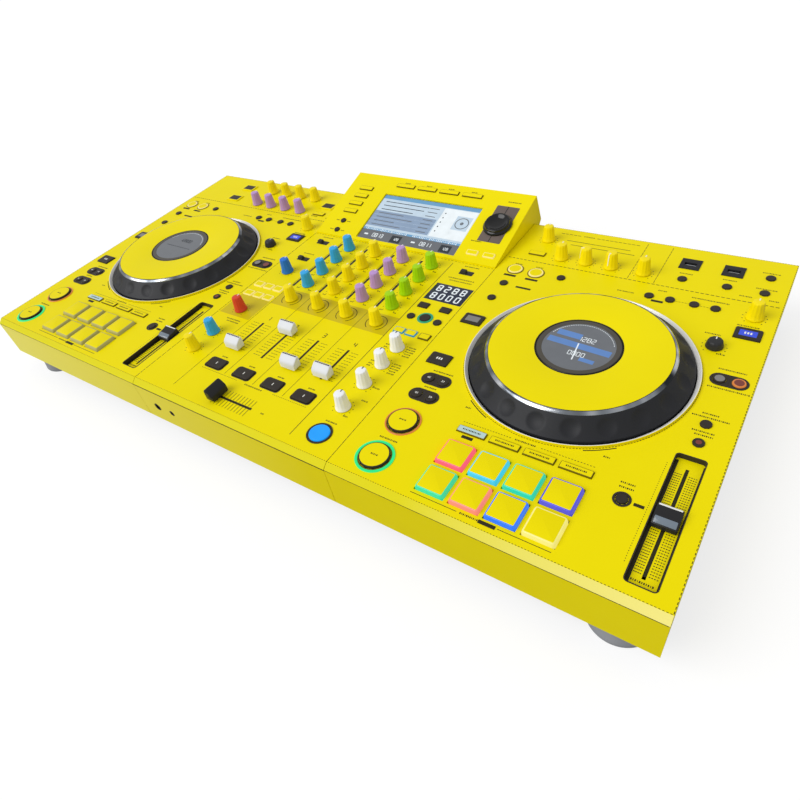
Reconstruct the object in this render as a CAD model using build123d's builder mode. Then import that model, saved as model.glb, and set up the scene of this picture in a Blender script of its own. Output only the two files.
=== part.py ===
from build123d import *
import os
from math import atan, cos, degrees, hypot, pi, tan

# A two-deck player console: three moulded covers and a raised display on a sheet-metal tray,
# with jog wheels, faders, knobs and sprung button caps that each move in their own seats.
# Millimetres, +Z up, +Y to the back. The origin is on the ground under the middle of the case.

os.makedirs("parts", exist_ok=True)

# Case
case_width = 878.0
case_depth = 466.6
case_height = 118.4
panel_height = 84.0
skirt_height = 31.0
rear_lip_height = 66.0
floor_height = 16.0
mixer_width = 281.0
cover_wall = 3.0
tray_wall = 2.0
bevel_depth = 6.3
bevel_drop = 5.0
rear_bevel_depth = 14.5
rear_bevel_drop = 12.0
socket_reach = 7.0
flange_inset = 1.5
tray_inset = 7.0
seam_gap = 0.6
clearance = 0.3
overrun = 5.0

half_width = case_width / 2
front_y = -case_depth / 2
back_y = case_depth / 2 - socket_reach
panel_front_y = front_y + bevel_depth
panel_back_y = back_y - rear_bevel_depth
panel_depth = panel_back_y - panel_front_y
panel_mid_y = (panel_front_y + panel_back_y) / 2
under_panel = panel_height - cover_wall
deck_width = (case_width - mixer_width) / 2
deck_x = (case_width + mixer_width) / 4
deck_sides = {"left": -1, "right": 1}

# Turning knobs: a skirted, tapered grip on a splined shaft, which turns in the panel over its pot
knob_base_r = 8.0
knob_waist_r = 6.4
knob_top_r = 5.6
knob_skirt = 4.5
knob_height = 18.6
low_knob_height = 7.4
knob_lift = 0.8
knob_sides = 8
shaft_r = 3.0
shaft_sides = 6
pot_width = 11.0
pot_height = 9.0
shaft_length = knob_lift + cover_wall - clearance
shaft_hole_r = (shaft_r + 2 * clearance) / cos(pi / shaft_sides)
skirt_taper = degrees(atan((knob_base_r - knob_waist_r) * cos(pi / knob_sides) / knob_skirt))
grip_rise = knob_height - knob_skirt
low_grip_rise = low_knob_height - knob_skirt
grip_taper = degrees(atan((knob_waist_r - knob_top_r) * cos(pi / knob_sides) / grip_rise))

# Button caps: round caps with few sides, and block caps, which sink into their holes
transport_r = 14.5
loop_r = 8.6
round_r = 4.8
pair_r = 5.6
pair_pitch = 16.0
round_sides = 12
small_sides = 8
window_width = 23.5
window_depth = 16.8
bar_depth = 7.5
outline_width = 20.0
outline_depth = 8.0
cap_root = 2.5
cap_proud = 1.5
transport_proud = 3.0
press_travel = 1.2

# Performance pads
pad_pitch = 32.1
pad_gap = 4.2
pad_proud = 3.8
pad_rim = 1.5
pad_columns = 4
pad_rows = 2
pad_size = pad_pitch - pad_gap
pad_taper = degrees(atan(pad_rim / pad_proud))

# Jog wheel: a fixed dish with a middle column, and a dimpled ring and top plate that turn on it
jog_height = 20.0
jog_plate = 2.5
jog_width_share = 0.3484
jog_depth_share = 0.237
jog_skirt_r = min(jog_width_share * deck_width, jog_depth_share * panel_depth)
jog_shoulder_r = 0.846 * jog_skirt_r
jog_plate_r = 0.821 * jog_skirt_r
jog_skirt_lift = 2.5
jog_wall = 3.0
jog_column_r = 0.346 * jog_skirt_r
jog_hub_wall = 4.5
jog_hub_drop = 4.0
jog_window_r = 0.3817 * jog_skirt_r
jog_window_proud = 0.3
jog_window_gap = 0.5
jog_light_width = 3.6
jog_light_gap = 0.9
jog_light_proud = 2.6
jog_dish_wall = 2.6
jog_dish_depth = 12.0
dimple_count = 20
dimple_depth = 0.9
dimple_facet_share = 0.926
dimple_slope_share = 0.28
dimple_sides = 8
window_sides = 32
jog_sides = 2 * dimple_count
jog_y_share = -0.0228

# Faders: a finger cap on a blade, which slides in a track under the panel
fader_travel = 0.10256 * panel_depth
fader_cap_depth = 11.0
fader_cap_height = 13.0
fader_cap_lift = 2.0
fader_groove = 1.6
blade_width = 1.6
blade_depth = 4.0
track_width = 9.0
track_height = 10.0
track_wall = 3.0
tempo_travel = 0.2279 * panel_depth
tempo_cap_width = 19.0
tempo_cap_depth = 18.0
tempo_cap_height = 10.0
tempo_recess_width = 23.5
tempo_recess_margin = 13.9
tempo_recess_length = tempo_travel + 2 * tempo_recess_margin
tempo_recess_depth = 5.0
tempo_recess_corner = 3.0
tempo_offset = 2.1
slot_width = blade_width + 4 * clearance

# Mixer layout
channel_pitch = 0.153 * mixer_width
channel_count = 4
eq_pitch = 0.067 * panel_depth
eq_rows = ("trim", "high", "mid", "low")
eq_top_share = 0.201
colour_share = -0.074
fader_mid_share = -0.249
listen_share = -0.370
crossfader_share = -0.455
side_column = 0.4004 * mixer_width
fader_cap_width = channel_pitch / 2
fx_knob_shares = (-0.358, -0.277, -0.204, -0.139)
fx_knob_names = ("level", "time", "channel", "effect")
left_knob_shares = (-0.349, -0.277, -0.169, 0.033)
left_knob_names = ("phones_level", "phones_mix", "colour_depth", "booth_level")
listen_width = 0.56 * channel_pitch
listen_depth = 14.0
fx_on_r = 10.4
tap_r = 6.4
arrow_width = 13.0
arrow_depth = 9.0
colour_pad_depth = 10.0
colour_pad_pitch = 0.0584 * mixer_width
colour_pad_gap = 2.8
colour_pad_width = colour_pad_pitch - colour_pad_gap
colour_pad_rise = 20.0
fx_window_width = 0.1744 * mixer_width
fx_window_depth = 33.0
fx_window_inset = 2.0
fx_window_share = 0.101
window_recess = 1.2
lever_width = 17.0
lever_depth = 7.0
lever_height = 4.0

# Raised display: places on its face are shares of the mixer's width and of the face's length
display_front_share = 0.2687
display_lip = 1.5
display_rear_run = 6.0
display_rear_drop = 4.0
screen_width = 0.548 * mixer_width
screen_recess = 2.0
screen_x = 0.0128 * mixer_width
screen_foot_share = 0.041
screen_share = 0.686
select_r = 18.5
select_waist_r = 16.0
select_height = 5.5
select_skirt = 2.5
select_lift = 1.0
select_x = 0.4036 * mixer_width
select_share = 0.523
select_shaft = 10.0
select_bevel = 1.2
select_sides = 16
menu_depth = 6.7
menu_gap = 6.2
menu_pitch = 0.1253 * mixer_width
menu_width = menu_pitch - menu_gap
menu_share = 0.874
menu_count = 4
side_menu_width = 22.0
side_menu_depth = 7.0
side_menu_x = 0.39 * mixer_width
side_menu_shares = (0.387, 0.511, 0.635, 0.759)
dot_r = 4.0
dot_shares = (0.083, 0.226)
lit_width = 15.0
lit_depth = 7.0
lit_pitch = 22.7
lit_share = 0.122
pocket_depth = 2.6

# Sockets
phones_r = 3.25
phones_depth = 30.0
mini_r = 1.85
mini_depth = 16.0
socket_wall = 1.8
socket_collar = 2.2
phones_x = 0.402 * mixer_width
phones_pitch = 25.0
phones_height = 53.5
usb_width = 12.6
usb_depth = 5.2
usb_well = 15.0
usb_wall = 1.2
usb_frame_width = 21.0
usb_frame_depth = 20.0
usb_frame_proud = 0.8
usb_shares = ((0.1675, 0.427), (0.3135, 0.427))
rear_socket_height = 44.0
xlr_r = 9.4
xlr_wall = 1.6
xlr_well = 15.0
rca_r = 4.2
rca_collar = 12.0
rca_pitch = 16.0
rca_count = 4
inlet_width = 24.5
inlet_depth = 17.0
inlet_well = 16.0
inlet_wall = 2.0
usb_b_width = 9.0
usb_b_depth = 8.2
usb_b_well = 14.0
inlet_x_share = -0.36
xlr_x_shares = (-0.26, -0.21)
rca_x_share = 0.06
usb_b_x_share = 0.28
rear_plate_shares = (-0.40, -0.32, -0.285, -0.235, -0.185, 0.045, 0.13, 0.25, 0.31)

# Feet and what is inside
foot_top_r = 27.0
foot_ground_r = 29.0
foot_sides = 16
foot_inset_x = 37.0
foot_inset_y = 35.3
board_width = 0.478 * case_width
board_depth = 0.4715 * case_depth
board_thickness = 1.6
board_stand = 8.0
board_post_r = 4.0
board_chip = 28.0
board_chip_height = 4.0
supply_width = 150.0
supply_depth = 90.0
supply_height = 36.0
supply_gap = 23.0
supply_back = 40.0
supply_ear = 12.0
vent_width = 60.0
vent_depth = 4.0
vent_pitch = 10.0
vent_count = 6

# Where each deck's caps stand: kind, then shares of the deck's width and of the panel's depth
deck_cap_shares = (
    ("transport", -0.377, -0.444),
    ("transport", -0.377, -0.338),
    ("window", -0.423, -0.134),
    ("window", -0.423, 0.028),
    ("round", -0.423, 0.127),
    ("round", -0.423, 0.196),
    ("loop", -0.423, 0.265),
    ("loop", -0.336, 0.265),
    ("round", -0.2345, 0.2655),
    ("round", 0.092, 0.2655),
    ("round", 0.163, 0.2655),
    ("round", 0.2425, 0.2655),
    ("round", 0.310, 0.2655),
    ("window", 0.4295, 0.199),
    ("round", 0.4155, -0.098),
    ("round", 0.4155, -0.1495),
    ("round", 0.299, -0.331),
)
pair_shares = ((-0.379, -0.253), (-0.379, -0.199), (0.4295, 0.037))
strip_cap_shares = {
    "left": (
        ("window", -0.215, 0.4365),
        ("window", -0.215, 0.3565),
        ("window", 0.3925, 0.405),
        ("outline", 0.3925, 0.352),
    ),
    "right": (
        ("outline", -0.389, 0.3545),
        ("round", 0.1655, 0.358),
        ("round", 0.3135, 0.359),
        ("round", 0.432, 0.4245),
        ("round", 0.431, 0.36),
    ),
}
strip_knob_shares = {
    "left": [(x, y) for y in (0.3475, 0.434) for x in (-0.0285, 0.070, 0.170, 0.272)],
    "right": [(-0.3885, 0.43), (-0.287, 0.354), (-0.1885, 0.354), (-0.09, 0.354), (0.03, 0.354)],
}
deck_knob_shares = ((0.4295, 0.262), (0.353, 0.1345))
pad_y_share = -0.408
bar_y_share = -0.304
tempo_shares = (0.4145, -0.337)
mixer_cap_shares = (
    ("arrow", -0.051, 0.035),
    ("arrow", 0.051, 0.035),
    ("tap", 0.0, -0.011),
    ("round", -0.0614, -0.017),
    ("round", 0.0614, -0.017),
    ("arrow", -0.0541, -0.0775),
    ("arrow", 0.0, -0.0775),
    ("arrow", 0.0612, -0.0775),
    ("fx_on", 0.0, -0.444),
)
lever_shares = ((-1, 0.204), (-1, 0.106), (1, 0.204))

round_caps = {
    "transport": transport_r,
    "loop": loop_r,
    "round": round_r,
    "pair": pair_r,
    "tap": tap_r,
    "fx_on": fx_on_r,
}
small_caps = ("round", "pair", "tap")
block_caps = {
    "window": (window_width, window_depth),
    "outline": (outline_width, outline_depth),
    "arrow": (arrow_width, arrow_depth),
    "listen": (listen_width, listen_depth),
    "colour_pad": (colour_pad_width, colour_pad_depth),
}


def deck_point(side, share_x, share_y):
    """A place on one deck from shares of the deck's width and of the panel's depth."""
    return (deck_sides[side] * deck_x + share_x * deck_width, panel_mid_y + share_y * panel_depth)


def panel_y(share):
    """A place along the panel, from its middle, as a share of its depth."""
    return panel_mid_y + share * panel_depth


# All cap places on the mixer, worked out once for the holes and for the caps
channel_x = [(i - (channel_count - 1) / 2) * channel_pitch for i in range(channel_count)]
mixer_caps = [
    (kind, side_column + x * mixer_width, panel_y(y)) for kind, x, y in mixer_cap_shares
]
mixer_caps += [("listen", x, panel_y(listen_share)) for x in channel_x]
colour_mid = panel_y(colour_share)
for row in (-1, 1):
    for column in (-1, 0, 1):
        pad_x = column * colour_pad_pitch - side_column
        mixer_caps.append(("colour_pad", pad_x, colour_mid + row * colour_pad_rise / 2))

deck_caps = {
    side: [(kind, *deck_point(side, x, y)) for kind, x, y in deck_cap_shares + strip_cap_shares[side]]
    for side in deck_sides
}
for side in deck_sides:
    for pair_x, pair_y in [deck_point(side, *shares) for shares in pair_shares]:
        deck_caps[side].append(("pair", pair_x - pair_pitch / 2, pair_y))
        deck_caps[side].append(("pair", pair_x + pair_pitch / 2, pair_y))

# All knob places: the mixer's knobs by name, and the decks' smaller ones as points
mixer_knobs = {}
for row, row_name in enumerate(eq_rows):
    for channel, x in enumerate(channel_x):
        mixer_knobs[f"{row_name}_knob_{channel + 1}"] = (x, panel_y(eq_top_share) - row * eq_pitch)
for channel, x in enumerate(channel_x):
    mixer_knobs[f"colour_knob_{channel + 1}"] = (x, colour_mid)
for knob_name, share in zip(left_knob_names, left_knob_shares):
    mixer_knobs[f"{knob_name}_knob"] = (-side_column, panel_y(share))
for knob_name, share in zip(fx_knob_names, fx_knob_shares):
    mixer_knobs[f"fx_{knob_name}_knob"] = (side_column, panel_y(share))
deck_knobs = {
    side: [deck_point(side, x, y) for x, y in (*deck_knob_shares, *strip_knob_shares[side])]
    for side in deck_sides
}


def cap_face(kind, grow):
    """Plan outline of a button cap, wider all round by grow."""
    if kind in round_caps:
        RegularPolygon(round_caps[kind] + grow, small_sides if kind in small_caps else round_sides)
    else:
        width, depth = block_caps[kind]
        Rectangle(width + 2 * grow, depth + 2 * grow)


def cap_faces(caps, grow):
    """The outlines of a whole bank of caps, where they stand."""
    for kind, x, y in caps:
        with Locations((x, y)):
            cap_face(kind, grow)


def shaft_holes(points):
    """Holes for knob shafts at these points."""
    with Locations(*points):
        RegularPolygon(shaft_hole_r, shaft_sides)


def cover_side(inset, low):
    """Corners of a cover's side view, drawn inwards by inset, down to low."""
    return (
        (front_y + inset, low),
        (front_y + inset, panel_height - bevel_drop - inset),
        (panel_front_y + inset, panel_height - inset),
        (panel_back_y - inset, panel_height - inset),
        (back_y - inset, panel_height - rear_bevel_drop - inset),
        (back_y - inset, low),
    )


# Covers of the two decks: moulded shells, open below and towards the mixer
jog_y = panel_y(jog_y_share)
jog_light_in = jog_skirt_r / cos(pi / jog_sides) + jog_light_gap
jog_light_r = jog_light_in + jog_light_width
jog_dish_r = jog_light_in + jog_dish_wall
jog_opening_r = jog_dish_r + clearance
tempo_slot = tempo_travel + blade_depth + 4 * clearance
tempo_floor = panel_height - tempo_recess_depth
seam_x = (mixer_width + seam_gap) / 2
deck_cover_width = half_width - seam_x

for side, sign in deck_sides.items():
    cover_x = sign * (seam_x + half_width) / 2
    hollow_x = cover_x - sign * (cover_wall + overrun) / 2
    hollow_width = deck_cover_width - cover_wall + overrun
    pads_point = deck_point(side, 0, pad_y_share)
    bars_point = deck_point(side, 0, bar_y_share)
    slot_point = deck_point(side, *tempo_shares)
    recess_point = (slot_point[0], slot_point[1] + tempo_offset)
    with BuildPart() as deck_cover:
        with BuildSketch(Plane.YZ.offset(cover_x)):
            with BuildLine():
                Polyline(*cover_side(0, skirt_height), close=True)
            make_face()
        extrude(amount=deck_cover_width / 2, both=True)
        with BuildSketch(Plane.YZ.offset(hollow_x)):
            with BuildLine():
                Polyline(*cover_side(cover_wall, skirt_height - overrun), close=True)
            make_face()
        extrude(amount=hollow_width / 2, both=True, mode=Mode.SUBTRACT)
        with BuildSketch(Plane.XY.offset(rear_lip_height)):
            with Locations((hollow_x, back_y)):
                Rectangle(hollow_width, 4 * cover_wall)
        extrude(amount=skirt_height - overrun - rear_lip_height, mode=Mode.SUBTRACT)
        with BuildSketch(Plane.XY.offset(panel_height)):
            cap_faces(deck_caps[side], clearance)
            shaft_holes(deck_knobs[side])
            with Locations((sign * deck_x, jog_y)):
                RegularPolygon(jog_opening_r, jog_sides)
            with Locations(pads_point):
                with GridLocations(pad_pitch, pad_pitch, pad_columns, pad_rows):
                    Rectangle(pad_size + 2 * clearance, pad_size + 2 * clearance)
            with Locations(bars_point):
                with GridLocations(pad_pitch, pad_pitch, pad_columns, 1):
                    Rectangle(pad_size + 2 * clearance, bar_depth + 2 * clearance)
            if side == "right":
                for shares in usb_shares:
                    with Locations(deck_point(side, *shares)):
                        Rectangle(
                            usb_width + 2 * (usb_wall + clearance),
                            usb_depth + 2 * (usb_wall + clearance),
                        )
        extrude(amount=-cover_wall - overrun, mode=Mode.SUBTRACT)
        with BuildSketch(Plane.XY.offset(panel_height)):
            with Locations(recess_point):
                Rectangle(
                    tempo_recess_width + 2 * cover_wall,
                    tempo_recess_length + 2 * cover_wall,
                )
        extrude(amount=-tempo_recess_depth - cover_wall)
        with BuildSketch(Plane.XY.offset(panel_height)):
            with Locations(recess_point):
                RectangleRounded(tempo_recess_width, tempo_recess_length, tempo_recess_corner)
        extrude(amount=-tempo_recess_depth, mode=Mode.SUBTRACT)
        with BuildSketch(Plane.XY.offset(tempo_floor)):
            with Locations(slot_point):
                Rectangle(slot_width, tempo_slot)
        extrude(amount=-cover_wall - overrun, mode=Mode.SUBTRACT)
    deck_cover.part.label = f"{side}_deck_cover"
    export_step(deck_cover.part, f"parts/{side}_deck_cover.step")

# Cover of the mixer, between the decks, with the front sockets' holes in its skirt
fader_y = panel_y(fader_mid_share)
crossfader_y = panel_y(crossfader_share)
fader_slot = fader_travel + blade_depth + 4 * clearance
mixer_cover_width = mixer_width - seam_gap
fx_window_x = mixer_width / 2 - fx_window_inset - fx_window_width / 2
fx_window_y = panel_y(fx_window_share)
phones_points = ((-phones_x, phones_height), (phones_pitch - phones_x, phones_height))
phones_radii = (phones_r, mini_r)

with BuildPart() as mixer_cover:
    with BuildSketch(Plane.YZ):
        with BuildLine():
            Polyline(*cover_side(0, skirt_height), close=True)
        make_face()
    extrude(amount=mixer_cover_width / 2, both=True)
    with BuildSketch(Plane.YZ):
        with BuildLine():
            Polyline(*cover_side(cover_wall, skirt_height - overrun), close=True)
        make_face()
    extrude(amount=mixer_cover_width / 2 + overrun, both=True, mode=Mode.SUBTRACT)
    with BuildSketch(Plane.XY.offset(rear_lip_height)):
        with Locations((0, back_y)):
            Rectangle(mixer_width + overrun, 4 * cover_wall)
    extrude(amount=skirt_height - overrun - rear_lip_height, mode=Mode.SUBTRACT)
    with BuildSketch(Plane.XY.offset(panel_height)):
        cap_faces(mixer_caps, clearance)
        shaft_holes(mixer_knobs.values())
        with Locations(*[(x, fader_y) for x in channel_x]):
            Rectangle(slot_width, fader_slot)
        with Locations((0, crossfader_y)):
            Rectangle(fader_slot, slot_width)
    extrude(amount=-cover_wall - overrun, mode=Mode.SUBTRACT)
    with BuildSketch(Plane.XY.offset(panel_height)):
        with Locations((fx_window_x, fx_window_y)):
            Rectangle(fx_window_width, fx_window_depth)
    extrude(amount=-window_recess, mode=Mode.SUBTRACT)
    with BuildSketch(Plane.XZ.offset(-front_y)):
        for point, radius in zip(phones_points, phones_radii):
            with Locations(point):
                RegularPolygon(radius + socket_wall + clearance, round_sides)
    extrude(amount=-cover_wall - overrun, mode=Mode.SUBTRACT)
mixer_cover.part.label = "mixer_cover"
export_step(mixer_cover.part, "parts/mixer_cover.step")

# Tray: folded sheet with a flange under the skirts, and vents. The rear panel closes its back
flange_width = case_width - 2 * flange_inset
tray_width = flange_width - 2 * tray_inset
tray_front_y = front_y + flange_inset + tray_inset
rear_wall_y = back_y - cover_wall
tray_depth = rear_wall_y - tray_front_y
tray_mid_y = (rear_wall_y + tray_front_y) / 2
rear_wall_width = case_width - 2 * (cover_wall + clearance)
vent_x = tray_width / 4
rca_points = [
    (rca_x_share * case_width + i * rca_pitch, rear_socket_height) for i in range(rca_count)
]

with BuildPart() as lower_case:
    with BuildSketch(Plane.XY.offset(floor_height)):
        with Locations((0, tray_mid_y)):
            Rectangle(tray_width, tray_depth)
    extrude(amount=skirt_height - floor_height)
    with BuildSketch(Plane.XY.offset(skirt_height - tray_wall)):
        with Locations((0, (front_y + flange_inset + rear_wall_y) / 2)):
            Rectangle(flange_width, rear_wall_y - front_y - flange_inset)
    extrude(amount=tray_wall)
    with BuildSketch(Plane.XY.offset(floor_height + tray_wall)):
        with Locations((0, tray_mid_y + tray_wall / 2)):
            Rectangle(tray_width - 2 * tray_wall, tray_depth - tray_wall)
    extrude(amount=skirt_height - floor_height, mode=Mode.SUBTRACT)
    with BuildSketch(Plane.XY.offset(floor_height)):
        for x in (-vent_x, vent_x):
            with Locations((x, tray_mid_y)):
                with GridLocations(vent_pitch, vent_pitch, 1, vent_count):
                    Rectangle(vent_width, vent_depth)
    extrude(amount=tray_wall, mode=Mode.SUBTRACT)
lower_case.part.label = "lower_case"
export_step(lower_case.part, "parts/lower_case.step")

# Rear panel: a row of plates on the tray's rear edge, blank between the plates that carry sockets
wall_rise = rear_lip_height - floor_height
wall_mid_z = floor_height + wall_rise / 2
wall_edges = [
    -rear_wall_width / 2,
    *[share * case_width for share in rear_plate_shares],
    rear_wall_width / 2,
]
with BuildPart() as rear_panel:
    with BuildSketch(Plane.XZ.offset(-rear_wall_y)):
        for low_x, high_x in zip(wall_edges, wall_edges[1:]):
            with Locations(((low_x + high_x) / 2, wall_mid_z)):
                Rectangle(high_x - low_x - seam_gap, wall_rise)
        with Locations((inlet_x_share * case_width, rear_socket_height)):
            Rectangle(
                inlet_width + 2 * (inlet_wall + clearance),
                inlet_depth + 2 * (inlet_wall + clearance),
                mode=Mode.SUBTRACT,
            )
        with Locations(*[(x * case_width, rear_socket_height) for x in xlr_x_shares]):
            RegularPolygon(xlr_r + xlr_wall + clearance, round_sides, mode=Mode.SUBTRACT)
        with Locations((usb_b_x_share * case_width, rear_socket_height)):
            Rectangle(
                usb_b_width + 2 * (usb_wall + clearance),
                usb_b_depth + 2 * (usb_wall + clearance),
                mode=Mode.SUBTRACT,
            )
        with Locations(*rca_points):
            RegularPolygon(rca_r + clearance, small_sides, mode=Mode.SUBTRACT)
    extrude(amount=-tray_wall)
rear_panel.part.label = "rear_panel"
export_step(rear_panel.part, "parts/rear_panel.step")

# Four rubber feet under the tray's corners
foot_x = half_width - foot_inset_x
foot_points = [
    (x, y) for x in (-foot_x, foot_x) for y in (front_y + foot_inset_y, back_y - foot_inset_y)
]
foot_taper = degrees(atan((foot_top_r - foot_ground_r) / floor_height))
with BuildPart() as feet:
    with BuildSketch(Plane.XY):
        with Locations(*foot_points):
            RegularPolygon(foot_ground_r, foot_sides)
    extrude(amount=floor_height, taper=-foot_taper)
feet.part.label = "feet"
export_step(feet.part, "parts/feet.step")

# Boards: the main board on its posts, and the power supply in its box with two ears
supply_x = tray_width / 2 - tray_wall - supply_gap - supply_ear - supply_width / 2
supply_y = rear_wall_y - supply_back - supply_depth / 2
board_z = floor_height + tray_wall + board_stand
post_step_x = board_width - 4 * board_post_r
post_step_y = board_depth - 4 * board_post_r
with BuildPart() as boards:
    with BuildSketch(Plane.XY.offset(board_z)):
        with Locations((0, tray_mid_y)):
            Rectangle(board_width, board_depth)
    extrude(amount=board_thickness)
    with BuildSketch(Plane.XY.offset(floor_height + tray_wall)):
        with Locations((0, tray_mid_y)):
            with GridLocations(post_step_x, post_step_y, 2, 2):
                RegularPolygon(board_post_r, shaft_sides)
    extrude(amount=board_stand)
    with BuildSketch(Plane.XY.offset(board_z + board_thickness)):
        with Locations((0, tray_mid_y)):
            with GridLocations(3 * board_chip, 2 * board_chip, 3, 1):
                Rectangle(board_chip, board_chip)
    extrude(amount=board_chip_height)
    with BuildSketch(Plane.XY.offset(floor_height + tray_wall)):
        with Locations((-supply_x, supply_y)):
            Rectangle(supply_width, supply_depth)
    extrude(amount=supply_height)
    with BuildSketch(Plane.XY.offset(floor_height + tray_wall)):
        with Locations((-supply_x, supply_y)):
            Rectangle(supply_width + 2 * supply_ear, supply_depth / 2)
    extrude(amount=tray_wall)

# Jog dishes: the light ring on the panel, the dish below it and the column for the window
jog_ring_top = jog_height - jog_plate
column_top = jog_height + jog_window_proud - jog_plate + jog_window_gap
jog_points = [(sign * deck_x, jog_y) for sign in deck_sides.values()]
with BuildPart() as jog_dishes:
    with BuildSketch(Plane.XY.offset(panel_height)):
        with Locations(*jog_points):
            RegularPolygon(jog_light_r, jog_sides)
    extrude(amount=jog_light_proud)
    with BuildSketch(Plane.XY.offset(panel_height)):
        with Locations(*jog_points):
            RegularPolygon(jog_dish_r, jog_sides)
    extrude(amount=-jog_dish_depth)
    with BuildSketch(Plane.XY.offset(panel_height + jog_light_proud)):
        with Locations(*jog_points):
            RegularPolygon(jog_light_in, jog_sides)
    extrude(amount=jog_dish_wall - jog_dish_depth - jog_light_proud, mode=Mode.SUBTRACT)
    with BuildSketch(Plane.XY.offset(panel_height - jog_dish_depth)):
        with Locations(*jog_points):
            Circle(jog_column_r)
    extrude(amount=jog_dish_depth + column_top)
jog_dishes.part.label = "jog_dishes"
export_step(jog_dishes.part, "parts/jog_dishes.step")

# Jog rings: a sloping grip with a finger dimple on every other facet, and a hub round the column
facet_share = cos(pi / jog_sides)
flank_run = (jog_skirt_r - jog_shoulder_r) * facet_share
flank_rise = jog_ring_top - jog_skirt_lift
flank_taper = degrees(atan(flank_run / flank_rise))
flank_length = hypot(flank_run, flank_rise)
flank_mid_r = (jog_skirt_r + jog_shoulder_r) / 2 * facet_share
flank_mid_z = (jog_ring_top + jog_skirt_lift) / 2
hollow_r = jog_skirt_r - jog_wall * flank_length / flank_rise / facet_share
hub_in = jog_column_r + clearance
plate_taper = degrees(atan((jog_shoulder_r - jog_plate_r) * facet_share / jog_plate))
dimple_r = dimple_facet_share * (jog_skirt_r + jog_shoulder_r) / 2 * tan(pi / jog_sides)
dimple_slope = dimple_slope_share * dimple_r
dimple_taper = degrees(atan(dimple_slope / dimple_depth))
window_hole_r = (jog_window_r + jog_window_gap) / cos(pi / window_sides)

for side, sign in deck_sides.items():
    jog_base = Plane((sign * deck_x, jog_y, panel_height))
    dimple_planes = []
    for i in range(dimple_count):
        dimple_turn = (i + 1 / 4) * 360 / dimple_count
        turn = Plane(jog_base.origin, x_dir=jog_base.x_dir).rotated((0, 0, dimple_turn))
        middle = turn.from_local_coords((flank_mid_r, 0, flank_mid_z))
        outward = turn.x_dir * flank_rise + turn.z_dir * flank_run
        dimple_planes.append(Plane(middle, x_dir=turn.y_dir, z_dir=outward))
    with BuildPart() as jog_ring:
        with BuildSketch(jog_base.offset(jog_skirt_lift)):
            RegularPolygon(jog_skirt_r, jog_sides)
        extrude(amount=flank_rise, taper=flank_taper)
        with BuildSketch(jog_base.offset(jog_skirt_lift)):
            RegularPolygon(hollow_r, jog_sides)
        extrude(amount=flank_rise - jog_wall, taper=flank_taper, mode=Mode.SUBTRACT)
        with BuildSketch(jog_base.offset(jog_ring_top - jog_wall)):
            RegularPolygon(hub_in + jog_hub_wall, jog_sides)
        extrude(amount=jog_wall - jog_ring_top - jog_hub_drop)
        with BuildSketch(jog_base.offset(jog_ring_top)):
            Circle(hub_in)
        extrude(amount=-jog_ring_top - jog_hub_drop, mode=Mode.SUBTRACT)
        for dimple_plane in dimple_planes:
            with BuildSketch(dimple_plane.offset(-dimple_depth)):
                RegularPolygon(dimple_r - dimple_slope, dimple_sides)
            extrude(amount=dimple_depth, taper=-dimple_taper, mode=Mode.SUBTRACT)
    jog_ring.part.label = f"{side}_jog_ring"
    export_step(jog_ring.part, f"parts/{side}_jog_ring.step")

    with BuildPart() as jog_top:
        with BuildSketch(jog_base.offset(jog_ring_top)):
            RegularPolygon(jog_shoulder_r, jog_sides)
        extrude(amount=jog_plate, taper=plate_taper)
        with BuildSketch(jog_base.offset(jog_height)):
            RegularPolygon(window_hole_r, window_sides)
        extrude(amount=-jog_plate, mode=Mode.SUBTRACT)
    jog_top.part.label = f"{side}_jog_plate"
    export_step(jog_top.part, f"parts/{side}_jog_plate.step")

# Performance pads: four by two on each deck, tapered above the panel
for side in deck_sides:
    pads_point = deck_point(side, 0, pad_y_share)
    with BuildPart() as pads:
        with BuildSketch(Plane.XY.offset(under_panel - cap_root)):
            with Locations(pads_point):
                with GridLocations(pad_pitch, pad_pitch, pad_columns, pad_rows):
                    Rectangle(pad_size, pad_size)
        extrude(amount=cap_root + cover_wall)
        with BuildSketch(Plane.XY.offset(panel_height)):
            with Locations(pads_point):
                with GridLocations(pad_pitch, pad_pitch, pad_columns, pad_rows):
                    Rectangle(pad_size, pad_size)
        extrude(amount=pad_proud, taper=pad_taper)
    pads.part.label = f"{side}_pads"
    export_step(pads.part, f"parts/{side}_pads.step")

# Deck buttons: play and cue caps stand highest, and the pad mode bars lie flush above the pads
for side in deck_sides:
    tall_caps = [cap for cap in deck_caps[side] if cap[0] == "transport"]
    flat_caps = [cap for cap in deck_caps[side] if cap[0] != "transport"]
    with BuildPart() as deck_buttons:
        with BuildSketch(Plane.XY.offset(under_panel - cap_root)):
            cap_faces(tall_caps, 0)
        extrude(amount=cap_root + cover_wall + transport_proud)
        with BuildSketch(Plane.XY.offset(under_panel - cap_root)):
            cap_faces(flat_caps, 0)
            with Locations(deck_point(side, 0, bar_y_share)):
                with GridLocations(pad_pitch, pad_pitch, pad_columns, 1):
                    Rectangle(pad_size, bar_depth)
        extrude(amount=cap_root + cover_wall + cap_proud)
    deck_buttons.part.label = f"{side}_deck_buttons"
    export_step(deck_buttons.part, f"parts/{side}_deck_buttons.step")

with BuildPart() as mixer_buttons:
    with BuildSketch(Plane.XY.offset(under_panel - cap_root)):
        cap_faces(mixer_caps, 0)
    extrude(amount=cap_root + cover_wall + cap_proud)
mixer_buttons.part.label = "mixer_buttons"
export_step(mixer_buttons.part, "parts/mixer_buttons.step")


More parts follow.
